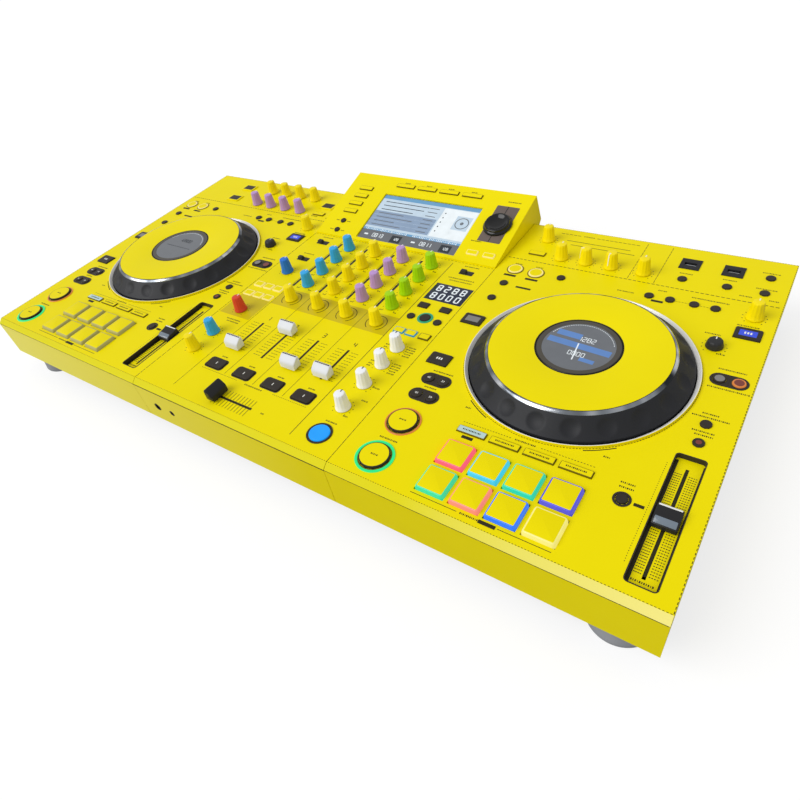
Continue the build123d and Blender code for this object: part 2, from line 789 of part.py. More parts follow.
def build_knob(x, y, rise):
    """One knob at a place on the panel: a skirt, a tapered grip and the shaft under them."""
    foot = panel_height + knob_lift
    with BuildPart() as knob:
        with BuildSketch(Plane((x, y, foot))):
            RegularPolygon(knob_base_r, knob_sides)
        extrude(amount=knob_skirt, taper=skirt_taper)
        with BuildSketch(Plane((x, y, foot + knob_skirt))):
            RegularPolygon(knob_waist_r, knob_sides)
        extrude(amount=rise, taper=grip_taper)
        with BuildSketch(Plane((x, y, foot))):
            RegularPolygon(shaft_r, shaft_sides)
        extrude(amount=-shaft_length)
    return knob


# The mixer's knobs, each on its own
for knob_name, (x, y) in mixer_knobs.items():
    knob = build_knob(x, y, grip_rise)
    knob.part.label = knob_name
    export_step(knob.part, f"parts/{knob_name}.step")

# The decks' knobs, the last on each deck a low one, and the three lever switches, as one group
all_deck_knobs = [point for side in deck_sides for point in deck_knobs[side]]
low_knobs = [deck_point(side, *deck_knob_shares[-1]) for side in deck_sides]
small_knobs = [build_knob(x, y, low_grip_rise).part for x, y in low_knobs]
small_knobs += [build_knob(x, y, grip_rise).part for x, y in all_deck_knobs if (x, y) not in low_knobs]
with BuildPart() as small_controls:
    add(small_knobs)
    with BuildSketch(Plane.XY.offset(panel_height)):
        with Locations(*[(column * side_column, panel_y(share)) for column, share in lever_shares]):
            Rectangle(lever_width, lever_depth)
    extrude(amount=lever_height, taper=pad_taper)
small_controls.part.label = "small_controls"
export_step(small_controls.part, "parts/small_controls.step")

# Electronics: the boards, with the pots under the knobs and the tracks under the faders
pot_foot = under_panel - pot_height
tempo_track_top = tempo_floor - cover_wall
tempo_points = [deck_point(side, *tempo_shares) for side in deck_sides]
with BuildPart() as electronics:
    add(boards.part)
    with BuildSketch(Plane.XY.offset(pot_foot)):
        with Locations(*mixer_knobs.values(), *all_deck_knobs):
            Rectangle(pot_width, pot_width)
    extrude(amount=pot_height)
    with BuildSketch(Plane.XY.offset(under_panel)):
        with Locations(*[(x, fader_y) for x in channel_x]):
            Rectangle(track_width, fader_slot + 2 * track_wall)
        with Locations((0, crossfader_y)):
            Rectangle(fader_slot + 2 * track_wall, track_width)
    extrude(amount=-track_height)
    with BuildSketch(Plane.XY.offset(under_panel)):
        with Locations(*[(x, fader_y) for x in channel_x]):
            Rectangle(slot_width, fader_slot)
        with Locations((0, crossfader_y)):
            Rectangle(fader_slot, slot_width)
    extrude(amount=tray_wall - track_height, mode=Mode.SUBTRACT)
    with BuildSketch(Plane.XY.offset(tempo_track_top)):
        with Locations(*tempo_points):
            Rectangle(track_width, tempo_slot + 2 * track_wall)
            Rectangle(slot_width, tempo_slot, mode=Mode.SUBTRACT)
    extrude(amount=-track_height)
electronics.part.label = "electronics"
export_step(electronics.part, "parts/electronics.step")


def build_fader(base, along, width, depth, height, drop):
    """A fader cap with a finger groove across its top, and the blade under it."""
    crest = height - fader_groove
    across = Vector(*along).cross(Vector(0, 0, 1))
    with BuildPart() as fader:
        with BuildSketch(Plane(base, x_dir=along, z_dir=across)):
            with BuildLine():
                Polyline(
                    (-depth / 2, 0),
                    (-depth / 2, crest),
                    (-depth / 2 + fader_groove, height),
                    (0, crest),
                    (depth / 2 - fader_groove, height),
                    (depth / 2, crest),
                    (depth / 2, 0),
                    close=True,
                )
            make_face()
        extrude(amount=width / 2, both=True)
        with BuildSketch(Plane(base, x_dir=along, z_dir=(0, 0, 1))):
            Rectangle(blade_depth, blade_width)
        extrude(amount=-drop)
    return fader


# Channel faders, at the places where they are set, and the crossfader at its left end
fader_set_shares = (-0.5, 0.5, -0.5, -0.43)
fader_z = panel_height + fader_cap_lift
fader_drop = fader_cap_lift + cover_wall + track_height - 2 * tray_wall
for channel, (x, share) in enumerate(zip(channel_x, fader_set_shares)):
    fader_base = (x, fader_y + share * fader_travel, fader_z)
    fader_cap = build_fader(
        fader_base, (0, 1, 0), fader_cap_width, fader_cap_depth, fader_cap_height, fader_drop
    )
    fader_cap.part.label = f"fader_cap_{channel + 1}"
    export_step(fader_cap.part, f"parts/fader_cap_{channel + 1}.step")

cross_base = (-fader_travel / 2, crossfader_y, fader_z)
crossfader_cap = build_fader(
    cross_base, (1, 0, 0), fader_cap_width, fader_cap_depth, fader_cap_height, fader_drop
)
crossfader_cap.part.label = "crossfader_cap"
export_step(crossfader_cap.part, "parts/crossfader_cap.step")

# Tempo sliders, low in their recesses, set at the middle
tempo_z = tempo_floor + fader_cap_lift
tempo_drop = fader_cap_lift + cover_wall + track_height - 2 * tray_wall
for side in deck_sides:
    tempo_base = (*deck_point(side, *tempo_shares), tempo_z)
    tempo_cap = build_fader(
        tempo_base, (0, 1, 0), tempo_cap_width, tempo_cap_depth, tempo_cap_height, tempo_drop
    )
    tempo_cap.part.label = f"{side}_tempo_cap"
    export_step(tempo_cap.part, f"parts/{side}_tempo_cap.step")

# Display housing: a wedge that stands on the mixer cover, with its face tilted to the front
display_front_y = back_y - display_rear_run - display_front_share * panel_depth
display_top_y = back_y - display_rear_run
face_run = display_top_y - display_front_y
face_rise = case_height - panel_height - display_lip
face_length = hypot(face_run, face_rise)
face_plane = Plane(
    (0, display_front_y, panel_height + display_lip),
    x_dir=(1, 0, 0),
    z_dir=(0, -face_rise, face_run),
)
screen_depth = screen_share * face_length
screen_rise = screen_foot_share * face_length + screen_depth / 2
select_rise = select_share * face_length
menu_points = [
    (screen_x + (i - (menu_count - 1) / 2) * menu_pitch, menu_share * face_length)
    for i in range(menu_count)
]
side_menu_points = [(-side_menu_x, share * face_length) for share in side_menu_shares]
dot_points = [(-side_menu_x, share * face_length) for share in dot_shares]
lit_points = [(select_x + i * lit_pitch / 2, lit_share * face_length) for i in (-1, 1)]


def display_caps(grow):
    """Outlines of the buttons on the display's face, wider all round by grow."""
    with Locations(*menu_points):
        Rectangle(menu_width + 2 * grow, menu_depth + 2 * grow)
    with Locations(*side_menu_points):
        Rectangle(side_menu_width + 2 * grow, side_menu_depth + 2 * grow)
    with Locations(*dot_points):
        RegularPolygon(dot_r + grow, small_sides)
    with Locations(*lit_points):
        Rectangle(lit_width + 2 * grow, lit_depth + 2 * grow)


with BuildPart() as display_housing:
    with BuildSketch(Plane.YZ):
        with BuildLine():
            Polyline(
                (display_front_y, panel_height),
                (display_front_y, panel_height + display_lip),
                (display_top_y, case_height),
                (case_depth / 2, panel_height - display_rear_drop),
                (back_y, panel_height - rear_bevel_drop),
                (panel_back_y, panel_height),
                close=True,
            )
        make_face()
    extrude(amount=mixer_cover_width / 2, both=True)
    with BuildSketch(face_plane):
        display_caps(clearance)
    extrude(amount=-pocket_depth, mode=Mode.SUBTRACT)
    with BuildSketch(face_plane):
        with Locations((screen_x, screen_rise)):
            Rectangle(screen_width, screen_depth)
    extrude(amount=-screen_recess, mode=Mode.SUBTRACT)
    with BuildSketch(face_plane):
        with Locations((select_x, select_rise)):
            RegularPolygon(shaft_hole_r, shaft_sides)
    extrude(amount=select_lift - select_shaft - clearance, mode=Mode.SUBTRACT)
display_housing.part.label = "display_housing"
export_step(display_housing.part, "parts/display_housing.step")

# Windows: the screen in the display, the round jog windows and the effect window in the mixer
with BuildPart() as windows:
    with BuildSketch(face_plane.offset(-screen_recess)):
        with Locations((screen_x, screen_rise)):
            Rectangle(screen_width, screen_depth)
    extrude(amount=screen_recess / 2)
    with BuildSketch(Plane.XY.offset(panel_height + column_top)):
        with Locations(*jog_points):
            RegularPolygon(jog_window_r, window_sides)
    extrude(amount=jog_height + jog_window_proud - column_top)
    with BuildSketch(Plane.XY.offset(panel_height - window_recess)):
        with Locations((fx_window_x, fx_window_y)):
            Rectangle(fx_window_width, fx_window_depth)
    extrude(amount=window_recess)
windows.part.label = "windows"
export_step(windows.part, "parts/windows.step")

with BuildPart() as display_buttons:
    with BuildSketch(face_plane.offset(clearance + press_travel - pocket_depth)):
        display_caps(0)
    extrude(amount=pocket_depth - clearance - press_travel + cap_proud)
display_buttons.part.label = "display_buttons"
export_step(display_buttons.part, "parts/display_buttons.step")

# Select knob on the display's face: a wide skirt and a waist below a bevelled top
select_plane = face_plane.shift_origin(face_plane.from_local_coords((select_x, select_rise, 0)))
select_taper = degrees(atan((select_r - select_waist_r) * cos(pi / select_sides) / select_skirt))
with BuildPart() as select_knob:
    with BuildSketch(select_plane.offset(select_lift)):
        RegularPolygon(select_r, select_sides)
    extrude(amount=select_skirt, taper=select_taper)
    with BuildSketch(select_plane.offset(select_lift + select_skirt)):
        RegularPolygon(select_waist_r, select_sides)
    extrude(amount=select_height - select_skirt)
    select_axis = Axis(select_plane.origin, select_plane.z_dir)
    chamfer(select_knob.faces().sort_by(select_axis)[-1].edges(), select_bevel)
    with BuildSketch(select_plane.offset(select_lift)):
        RegularPolygon(shaft_r, shaft_sides)
    extrude(amount=-select_shaft)
select_knob.part.label = "select_knob"
export_step(select_knob.part, "parts/select_knob.step")


def tube_socket(plane, radius, wall, well, collar, proud):
    """A socket with a round blind bore: a block behind the wall and a nose through it."""
    block = 2 * (radius + wall + collar)
    with BuildPart() as socket:
        with BuildSketch(plane.offset(proud)):
            RegularPolygon(radius + wall, round_sides)
        extrude(amount=-proud - cover_wall)
        with BuildSketch(plane.offset(-cover_wall)):
            Rectangle(block, block)
        extrude(amount=-well)
        with BuildSketch(plane.offset(proud)):
            Circle(radius)
        extrude(amount=-well, mode=Mode.SUBTRACT)
    return socket.part


def box_socket(plane, width, depth, wall, well, proud, frame_width, frame_depth):
    """A square socket with a blind well, behind a thin frame on the wall."""
    with BuildPart() as socket:
        with BuildSketch(plane):
            Rectangle(frame_width, frame_depth)
        extrude(amount=proud)
        with BuildSketch(plane):
            Rectangle(width + 2 * wall, depth + 2 * wall)
        extrude(amount=-well - wall)
        with BuildSketch(plane.offset(proud)):
            Rectangle(width, depth)
        extrude(amount=-well, mode=Mode.SUBTRACT)
    return socket.part


def front_plane(x, z):
    """Plane on the front skirt, looking out of it."""
    return Plane((x, front_y, z), x_dir=(1, 0, 0), z_dir=(0, -1, 0))


def rear_plane(share):
    """Plane on the outside of the rear wall, looking out of it."""
    x = share * case_width
    return Plane((x, rear_wall_y + tray_wall, rear_socket_height), x_dir=(-1, 0, 0), z_dir=(0, 1, 0))


# Front sockets: the two phones sockets in the skirt
phones_sockets = [
    tube_socket(front_plane(*point), radius, socket_wall, well, socket_collar, 0)
    for point, radius, well in zip(phones_points, phones_radii, (phones_depth, mini_depth))
]
with BuildPart() as front_sockets:
    add(phones_sockets)
front_sockets.part.label = "front_sockets"
export_step(front_sockets.part, "parts/front_sockets.step")

# USB sockets on the right deck, each under a thin frame
usb_frame = (usb_frame_width, usb_frame_depth)
usb_size = (usb_width, usb_depth, usb_wall, usb_well, usb_frame_proud)
usb_planes = [Plane((*deck_point("right", *shares), panel_height)) for shares in usb_shares]
usb_solids = [box_socket(usb_plane, *usb_size, *usb_frame) for usb_plane in usb_planes]
with BuildPart() as usb_sockets:
    add(usb_solids)
usb_sockets.part.label = "usb_sockets"
export_step(usb_sockets.part, "parts/usb_sockets.step")

# Rear sockets: mains inlet, computer socket, two outputs and the row of line posts
inlet_frame = (inlet_width + 4 * inlet_wall, inlet_depth + 4 * inlet_wall)
inlet_size = (inlet_width, inlet_depth, inlet_wall, inlet_well, tray_wall)
usb_b_frame = (usb_b_width + 4 * usb_wall, usb_b_depth + 4 * usb_wall)
usb_b_size = (usb_b_width, usb_b_depth, usb_wall, usb_b_well, usb_wall)
xlr_size = (xlr_r, xlr_wall, xlr_well, socket_collar, tray_wall)
rear_solids = [
    box_socket(rear_plane(inlet_x_share), *inlet_size, *inlet_frame),
    box_socket(rear_plane(usb_b_x_share), *usb_b_size, *usb_b_frame),
    *[tube_socket(rear_plane(share), *xlr_size) for share in xlr_x_shares],
]
with BuildPart() as rear_sockets:
    add(rear_solids)
    with BuildSketch(Plane.XZ.offset(-rear_wall_y)):
        with Locations(*rca_points):
            Rectangle(rca_collar, rca_collar)
    extrude(amount=socket_collar)
    with BuildSketch(Plane.XZ.offset(-rear_wall_y)):
        with Locations(*rca_points):
            RegularPolygon(rca_r, small_sides)
    extrude(amount=rear_wall_y - case_depth / 2)
rear_sockets.part.label = "rear_sockets"
export_step(rear_sockets.part, "parts/rear_sockets.step")
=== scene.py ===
from math import cos, pi, radians, sin

import bpy
from mathutils import Matrix, Vector


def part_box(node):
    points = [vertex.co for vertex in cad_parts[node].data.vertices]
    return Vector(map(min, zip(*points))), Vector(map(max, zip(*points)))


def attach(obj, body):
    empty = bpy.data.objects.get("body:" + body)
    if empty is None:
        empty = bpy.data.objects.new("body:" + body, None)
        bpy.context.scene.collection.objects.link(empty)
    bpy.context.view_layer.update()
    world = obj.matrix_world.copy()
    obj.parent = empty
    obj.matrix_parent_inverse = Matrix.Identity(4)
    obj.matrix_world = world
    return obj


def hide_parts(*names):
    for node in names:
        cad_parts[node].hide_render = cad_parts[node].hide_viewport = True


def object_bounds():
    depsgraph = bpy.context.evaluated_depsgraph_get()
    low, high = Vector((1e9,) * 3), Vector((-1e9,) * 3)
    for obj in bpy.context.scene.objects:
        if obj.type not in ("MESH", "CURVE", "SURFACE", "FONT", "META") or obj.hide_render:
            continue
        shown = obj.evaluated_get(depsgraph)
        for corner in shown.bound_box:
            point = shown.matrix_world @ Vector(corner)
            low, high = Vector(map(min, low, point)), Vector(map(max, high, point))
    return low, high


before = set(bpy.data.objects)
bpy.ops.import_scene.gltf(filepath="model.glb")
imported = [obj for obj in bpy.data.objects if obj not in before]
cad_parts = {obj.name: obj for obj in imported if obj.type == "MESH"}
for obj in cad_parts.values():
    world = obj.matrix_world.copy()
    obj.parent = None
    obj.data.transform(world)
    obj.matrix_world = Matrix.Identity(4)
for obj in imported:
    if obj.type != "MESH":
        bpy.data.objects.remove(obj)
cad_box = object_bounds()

# Sheet tray and its rear wall: folded steel, powder coated black, screwed under the three covers.
# The coat is matt with a fine crinkle, and a little lighter where it has been rubbed.


class Sock:
    """A socket in a node tree. Operators on it add Math nodes, and node() adds any other node."""

    def __init__(self, tree, socket=None):
        self.tree, self.socket = tree, socket

    def node(self, kind, sockets=(), out=0, stops=(), **settings):
        made = self.tree.nodes.new(kind)
        for key, value in settings.items():
            setattr(made, key, value)
        for place, (position, colour) in enumerate(stops):
            ramp = made.color_ramp.elements
            stop = ramp[place] if place < 2 else ramp.new(position)
            stop.position, stop.color = position, colour
        for key, value in dict(sockets).items():
            if isinstance(value, Sock):
                self.tree.links.new(value.socket, made.inputs[key])
            else:
                made.inputs[key].default_value = value
        return Sock(self.tree, made.outputs[out] if len(made.outputs) else None)

    def maths(self, operation, left, right):
        return self.node("ShaderNodeMath", {0: left, 1: right}, operation=operation)

    def __add__(self, other):
        return self.maths("ADD", self, other)

    def __sub__(self, other):
        return self.maths("SUBTRACT", self, other)

    def __rsub__(self, other):
        return self.maths("SUBTRACT", other, self)

    def __mul__(self, other):
        return self.maths("MULTIPLY", self, other)

    def __gt__(self, other):
        return self.maths("GREATER_THAN", self, other)

    def __lt__(self, other):
        return self.maths("LESS_THAN", self, other)

    __radd__, __rmul__ = __add__, __mul__


def mixed(share, first, second):
    """A colour between two colours, by a share that changes over the surface."""
    sockets = {"Factor": share, "A": first, "B": second}
    return share.node("ShaderNodeMix", sockets, 2, data_type="RGBA")


def rgb(red, green, blue):
    """A colour given as it looks on a screen, 0 to 255, as the linear colour that shaders take."""
    parts = [c / 255 for c in (red, green, blue)]
    return (*[p / 12.92 if p < 0.04045 else ((p + 0.055) / 1.055) ** 2.4 for p in parts], 1)


def start(name):
    """A new material, its tree and its Object coordinates."""
    material = bpy.data.materials.new(name)
    material.use_nodes = True
    material.node_tree.nodes.clear()
    tree = Sock(material.node_tree)
    return material, tree, tree.node("ShaderNodeTexCoord", out=3)


def noise(place, scale, detail):
    """Slow, cloudy changes over the surface."""
    return place.node("ShaderNodeTexNoise", {"Vector": place, "Scale": scale, "Detail": detail})


def surface(tree, **sockets):
    """The shader at the end of a material. Names of its sockets are given with _ for a space."""
    sockets = {key.replace("_", " "): value for key, value in sockets.items()}
    shader = tree.node("ShaderNodeBsdfPrincipled", sockets)
    tree.node("ShaderNodeOutputMaterial", {"Surface": shader})


def moulded(
    name, colour, rough=0.45, mottle=0.06, grain=1400.0, depth=0.05, coat=0.0, metal=0.0, shine=0.25
):
    """Moulded or coated finish: slow changes of tone, uneven gloss and a fine grain."""
    material, tree, place = start(name)
    cloud = noise(place, 28.0, 4.0)
    fine = noise(place, grain, 2.0)
    *parts, _ = rgb(*colour)
    dark = [c * (1 - 2 * mottle) for c in parts]
    pale = [min(1, c * (1 + mottle)) for c in parts]
    tone = mixed(cloud * 0.7 + fine * 0.3, (*dark, 1), (*pale, 1))
    bump = tree.node("ShaderNodeBump", {"Strength": depth, "Distance": 0.0004, "Height": fine})
    surface(
        tree,
        Base_Color=tone,
        Roughness=rough - 0.06 + cloud * 0.12,
        Normal=bump,
        Coat_Weight=coat,
        Coat_Roughness=0.12,
        Metallic=metal,
        Specular_IOR_Level=shine,
    )
    return material


def dress(name, finish):
    """Gives a CAD node its finish."""
    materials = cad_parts[name].data.materials
    materials.clear()
    materials.append(finish)


powder_black = moulded("powder_black", (38, 38, 40), rough=0.62, mottle=0.1, grain=2600.0, depth=0.25)
dress("lower_case", powder_black)

# Boards, power supply, pots and fader tracks inside the case, seen only through slots.
# They are glass-fibre and moulded blocks under one green lacquer, screwed to the tray.
board_green = moulded("board_green", (28, 86, 52), rough=0.4, mottle=0.15, grain=300.0, depth=0.1)
dress("electronics", board_green)

# Three moulded covers and the display's housing, all under one printed yellow vinyl skin. It is satin, with
# a fine orange peel. Painted sheen and shade make the bevel darker, turning pale at the right, and the
# skirt paler at the left.
# Lengths from here on are in millimetres, and a mesh is scaled to metres when it is made.
mm = 0.001
low, high = [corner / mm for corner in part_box("mixer_cover")]
half_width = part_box("right_deck_cover")[1].x / mm
seam, panel = high.x + 0.3, high.z
front, back = low.y, high.y
top_front, top_back = front + 6.3, back - 14.5
middle, depth = (top_front + top_back) / 2, top_back - top_front
deck_x, deck_width = (half_width + seam) / 2, half_width - seam
bevel_drop = 5
sides = {"left": -1, "right": 1}


def depth_at(share):
    """A y on the panel, from a share of its depth."""
    return middle + share * depth


def deck_at(side, share_x, share_y):
    """A place on a deck, from shares of the deck's width and the panel's depth."""
    return sides[side] * deck_x + share_x * deck_width, depth_at(share_y)


jog_y, ring_r = depth_at(-0.0228), 109
material, tree, place = start("yellow_skin")
cloud = noise(place, 7.0, 3.0)
peel = noise(place, 420.0, 2.0)
dust = noise(place, 60.0, 6.0)
skin_tone = mixed(cloud * 0.8 + dust * 0.2, rgb(231, 213, 0), rgb(240, 224, 0))
across, along, up = [tree.node("ShaderNodeSeparateXYZ", {"Vector": place}, i) for i in range(3)]
bevel = (along < (top_front - 0.1) * mm) * (up > (panel - bevel_drop + 0.1) * mm)
# Painted shade and highlight on the bevel: a darker yellow along most of it, turning pale towards the right
# end.
sockets = {"Value": across, 1: 0.22, 2: half_width * mm, 3: 0.0, 4: 0.55}
bevel_sheen_share = tree.node("ShaderNodeMapRange", sockets)
bevel_shade_and_sheen = mixed(bevel_sheen_share, rgb(218, 208, 4), rgb(252, 240, 170))
skin_tone = mixed(bevel, skin_tone, bevel_shade_and_sheen)
# Painted sheen on the front skirt: its yellow is mixed towards a pale tone at the left end, fading out
# towards the right.
skirt = (along < (top_front + 13) * mm) * (up < (panel - bevel_drop + 0.05) * mm)
sockets = {"Value": across, 1: -half_width * mm, 2: 0.12, 3: 1.0, 4: 0.0}
skirt_sheen_share = tree.node("ShaderNodeMapRange", sockets)
skin_tone = mixed(skirt * skirt_sheen_share, skin_tone, rgb(255, 244, 112))
skin_bump = tree.node("ShaderNodeBump", {"Strength": 0.05, "Distance": 0.0003, "Height": peel})
surface(
    tree,
    Base_Color=skin_tone,
    Roughness=0.34 + cloud * 0.1 + dust * 0.06,
    Normal=skin_bump,
    Specular_IOR_Level=0.08,
)
yellow_skin = material
for name in ("left_deck_cover", "mixer_cover", "right_deck_cover", "display_housing"):
    dress(name, yellow_skin)

# Printing on the skin: thin black rules, dots and ticks, as flat marks a tenth of a millimetre high.
# A node tree sets one small bar on each point, with the point's own length, width and turn.
ink = moulded("printing_ink", (44, 40, 14), rough=0.5, mottle=0.1)
marks = bpy.data.node_groups.new("marks", "GeometryNodeTree")
marks.interface.new_socket("Geometry", in_out="INPUT", socket_type="NodeSocketGeometry")
thick_in = marks.interface.new_socket("Thickness", in_out="INPUT", socket_type="NodeSocketFloat")
finish_in = marks.interface.new_socket("Finish", in_out="INPUT", socket_type="NodeSocketMaterial")
marks.interface.new_socket("Geometry", in_out="OUTPUT", socket_type="NodeSocketGeometry")
grow = Sock(marks)
given = marks.nodes.new("NodeGroupInput")
points, thickness, finish = [Sock(marks, given.outputs[i]) for i in range(3)]
size = grow.node("GeometryNodeInputNamedAttribute", {"Name": "size"}, data_type="FLOAT_VECTOR")
turn = grow.node("GeometryNodeInputNamedAttribute", {"Name": "turn"}, data_type="FLOAT")
bar = grow.node("GeometryNodeMeshCube", {"Size": (1, 1, 1)})
flat = grow.node("ShaderNodeCombineXYZ", {"X": 1.0, "Y": 1.0, "Z": thickness})
scale = grow.node("ShaderNodeVectorMath", {0: size, 1: flat}, operation="MULTIPLY")
spin = grow.node("ShaderNodeCombineXYZ", {"Z": turn})
sockets = {"Points": points, "Instance": bar, "Rotation": spin, "Scale": scale}
placed = grow.node("GeometryNodeInstanceOnPoints", sockets)
real = grow.node("GeometryNodeRealizeInstances", {"Geometry": placed})
inked = grow.node("GeometryNodeSetMaterial", {"Geometry": real, "Material": finish})
leave = marks.nodes.new("NodeGroupOutput")
marks.links.new(inked.socket, leave.inputs[0])
scene = bpy.context.scene


def add(name, data):
    """A new object of the scene, from its mesh, light or lens."""
    made = bpy.data.objects.new(name, data)
    scene.collection.objects.link(made)
    return made


def printed(name, rows, finish, body="case", thick=0.2, tilt=Matrix()):
    """One mesh of flat marks. Each row is a place (x, y, z), a length, a width and a turn."""
    mesh = bpy.data.meshes.new(name + "_points")
    mesh.from_pydata([row[0] for row in rows], [], [])
    sizes = [size for row in rows for size in (row[1], row[2], 1)]
    mesh.attributes.new("size", "FLOAT_VECTOR", "POINT").data.foreach_set("vector", sizes)
    mesh.attributes.new("turn", "FLOAT", "POINT").data.foreach_set("value", [row[3] for row in rows])
    piece = add(name, mesh)
    modifier = piece.modifiers.new("marks", "NODES")
    modifier.node_group = marks
    modifier[thick_in.identifier] = thick
    modifier[finish_in.identifier] = finish
    grown = piece.evaluated_get(bpy.context.evaluated_depsgraph_get())
    plain = bpy.data.meshes.new_from_object(grown)
    piece.modifiers.remove(modifier)
    piece.data = plain
    plain.name = name
    plain.materials.clear()
    plain.materials.append(finish)
    plain.transform(Matrix.Scale(mm, 4) @ tilt)
    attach(piece, body)


def dashes(first, last, dash, gap, width, z=panel):
    """Rows for a dashed line on the panel."""
    run = Vector(last) - Vector(first)
    count = max(1, round(run.length / (dash + gap)))
    angle = run.angle_signed(Vector((1, 0)))
    step = run / count
    return [
        ((*(Vector(first) + step * (i + 0.5)), z), dash if count > 1 else run.length, width, angle)
        for i in range(count)
    ]


def arc(centre, radius, first, last, dash, width, count, z=panel):
    """Rows for marks along an arc, in degrees from +X."""
    rows = []
    for i in range(count):
        a = radians(first + (last - first) * (i + 0.5) / count)
        at = (centre[0] + radius * cos(a), centre[1] + radius * sin(a), z)
        rows.append((at, dash, width, a + pi / 2))
    return rows


rules = []
line, thin = 0.5, 0.4
solid = (1000, 0)
edge = half_width - 0.5
for x in (-seam, seam):
    rules += dashes((x, top_front), (x, depth_at(0.246)), 6, 1.8, line)
for y in (top_front + 0.3, top_back - 0.3):
    rules += dashes((-edge, y), (edge, y), 1.4, 1.2, thin)
for x in (-edge, edge):
    rules += dashes((x, top_front), (x, top_back), 2.2, 1.6, line)
rules.append(((0, front, panel - bevel_drop), 2 * edge, line, 0))
rules += [((0, front, panel - bevel_drop - i * 0.22), 2 * seam, line, 0) for i in (1, 2, 3)]
for side in sides:
    a, b = deck_at(side, -0.49, 0.316), deck_at(side, 0.49, 0.316)
    rules += dashes(a, b, 3.4, 1.6, 0.8)
    x = sides[side] * deck_x
    for first, last in ((232, 246), (294, 308)):
        rules += arc((x, jog_y), ring_r + 2.4, first, last, 2.1, 0.9, 14)
    rules += arc((x, jog_y), ring_r + 0.6, 0, 360, 1.7, line, 260)
    above_pads, below_pads = -132, -220.5
    for first, last in ((-62, -14), (13, 61)):
        rules += dashes((x + first, above_pads), (x + last, above_pads), 1.4, 1.2, line)
    for first, last in ((-63, -19), (17, 61)):
        rules += dashes((x + first, below_pads), (x + last, below_pads), *solid, line)
    tags = [(8, -220.6, 15, 3.4), (-49, -148.4, 11, 3.4), (37.5, 102.4, 12, 3.4), (-127, 95.6, 15, 3.4)]
    tags += [(-100, 95, 15, 3.4), (-101.5, 76.8, 18, 3), (102.4, -153.4, 8, 3)]
    rules += [((x + tag_x, tag_y, panel), wide, deep, 0) for tag_x, tag_y, wide, deep in tags]
    rules += dashes((x + 108.3, -204), (x + 108.3, -102), 0.7, 1.6, line)
    rules += dashes(deck_at(side, 0.16, 0.2655), deck_at(side, 0.31, 0.2655), 2, 1, thin)
for share in (-0.012, 0.082):
    rules += dashes(deck_at("right", share, 0.32), deck_at("right", share, 0.49), 5, 1.2, line)
brackets = [(-108, -82, 200.8, 4), (-63, -11, 200.8, 4), (-95, -18, 187, 90), (-87, -11, 179, 90)]
for first, last, y, dash in brackets:
    rules += dashes((deck_x + first, y), (deck_x + last, y), dash, 1.4, 0.7)

channel_pitch = 43
channels = [(i - 1.5) * channel_pitch for i in range(4)]
for i in range(-2, 3):
    x, near = i * channel_pitch, depth_at(-0.475 if abs(i) == 2 else -0.39)
    rules += dashes((x, near), (x, depth_at(0.236)), *solid, 0.6 if i == 2 else thin)
fader_y, fader_travel = depth_at(-0.249), 45
for x in channels:
    for step in range(-5, 6):
        for offset in (-13, -9.6, -6.2, 6.2, 9.6, 13):
            rules.append(((x + offset, fader_y + step * fader_travel / 10, panel), 2.6, line, 0))
cross_y = depth_at(-0.455)
for step in range(12):
    for offset in (-6.4, 6.4):
        rules.append((((step - 5.5) * 4.3, cross_y + offset, panel), line, 9.6, 0))
for first, last in ((-77.4, -21), (31, 77.4)):
    rules += dashes((first, -181), (last, -181), 1.2, 1.2, line)
rules += dashes((-140, 100.6), (140, 100.6), 3, 2, thin)


def label(x, y, wide, z=panel):
    """Rows for a line of fine print, as plain strokes that stand for its grey tone and spell nothing."""
    pitch, high, widths = 1.5, 1.6, (1.0, 0.6, 0.9, 0.4, 1.1, 0.7)
    count = round(wide / pitch)
    return [
        ((x + (i - (count - 1) / 2) * pitch, y, z), widths[i % len(widths)], high, 0)
        for i in range(count)
    ]


deck_labels = [(-112, -83, 22), (-113, -106.5, 14), (-113, -180, 20), (-1, -132, 20), (-8, -220.5, 16)]
deck_labels += [(-66, -115, 6), (37.5, 122, 9), (3, 108.5, 18), (85, 121, 36), (126, 92, 20)]
deck_labels += [(100, 69.5, 15), (113, 42, 8), (128, 23, 24), (130, -3, 34), (124.5, -37.5, 14)]
deck_labels += [(125.5, -42, 30), (124, -59.5, 18), (125.5, -63.5, 15), (65, -118, 6), (88.7, -136.7, 12)]
deck_labels += [(89, -141.2, 12), (-127, 120.5, 9), (-101, 121, 9), (113.5, 140, 12), (139, 140, 9)]
right_labels = [(50.5, 161, 14), (93.5, 163, 14), (128, 188, 16), (129, 158, 20), (-72, 201, 14)]
mixer_labels = [(113, 68, 34), (115, 63, 30), (113, 95, 20), (114, -186, 13), (-107, -101, 22)]
mixer_labels += [(-105, -105, 20), (4, -182, 26), (127, -149, 8), (122, -174, 6), (-113, 95, 18)]
mixer_labels += [(-113, 52, 18), (41, -207, 5)] + [(x + 1, -157.5, 9) for x in channels]
eq_top, eq_pitch = middle + 88.2, 29.4
eq_y = [eq_top - eq_pitch * row for row in range(4)]
mixer_labels += [(x + away, y - 9.5, 4.5) for x in channels for y in eq_y for away in (-9.5, 9.5)]
effect_shares = {"level": -0.358, "time": -0.277, "channel": -0.204, "effect": -0.139}
beside = [(128, 6, 9), (128, 2.4, 11), (128, -1.2, 10), (128, -4.8, 8), (128, -8.4, 9)]
beside += [(98.5, rise, 5) for rise in (2, -2.4, -6)]
for name in ("channel", "effect"):
    mixer_labels += [(x, depth_at(effect_shares[name]) + rise, wide) for x, rise, wide in beside]
mixer_labels.append((127, depth_at(effect_shares["time"]), 9))
fine_print = []
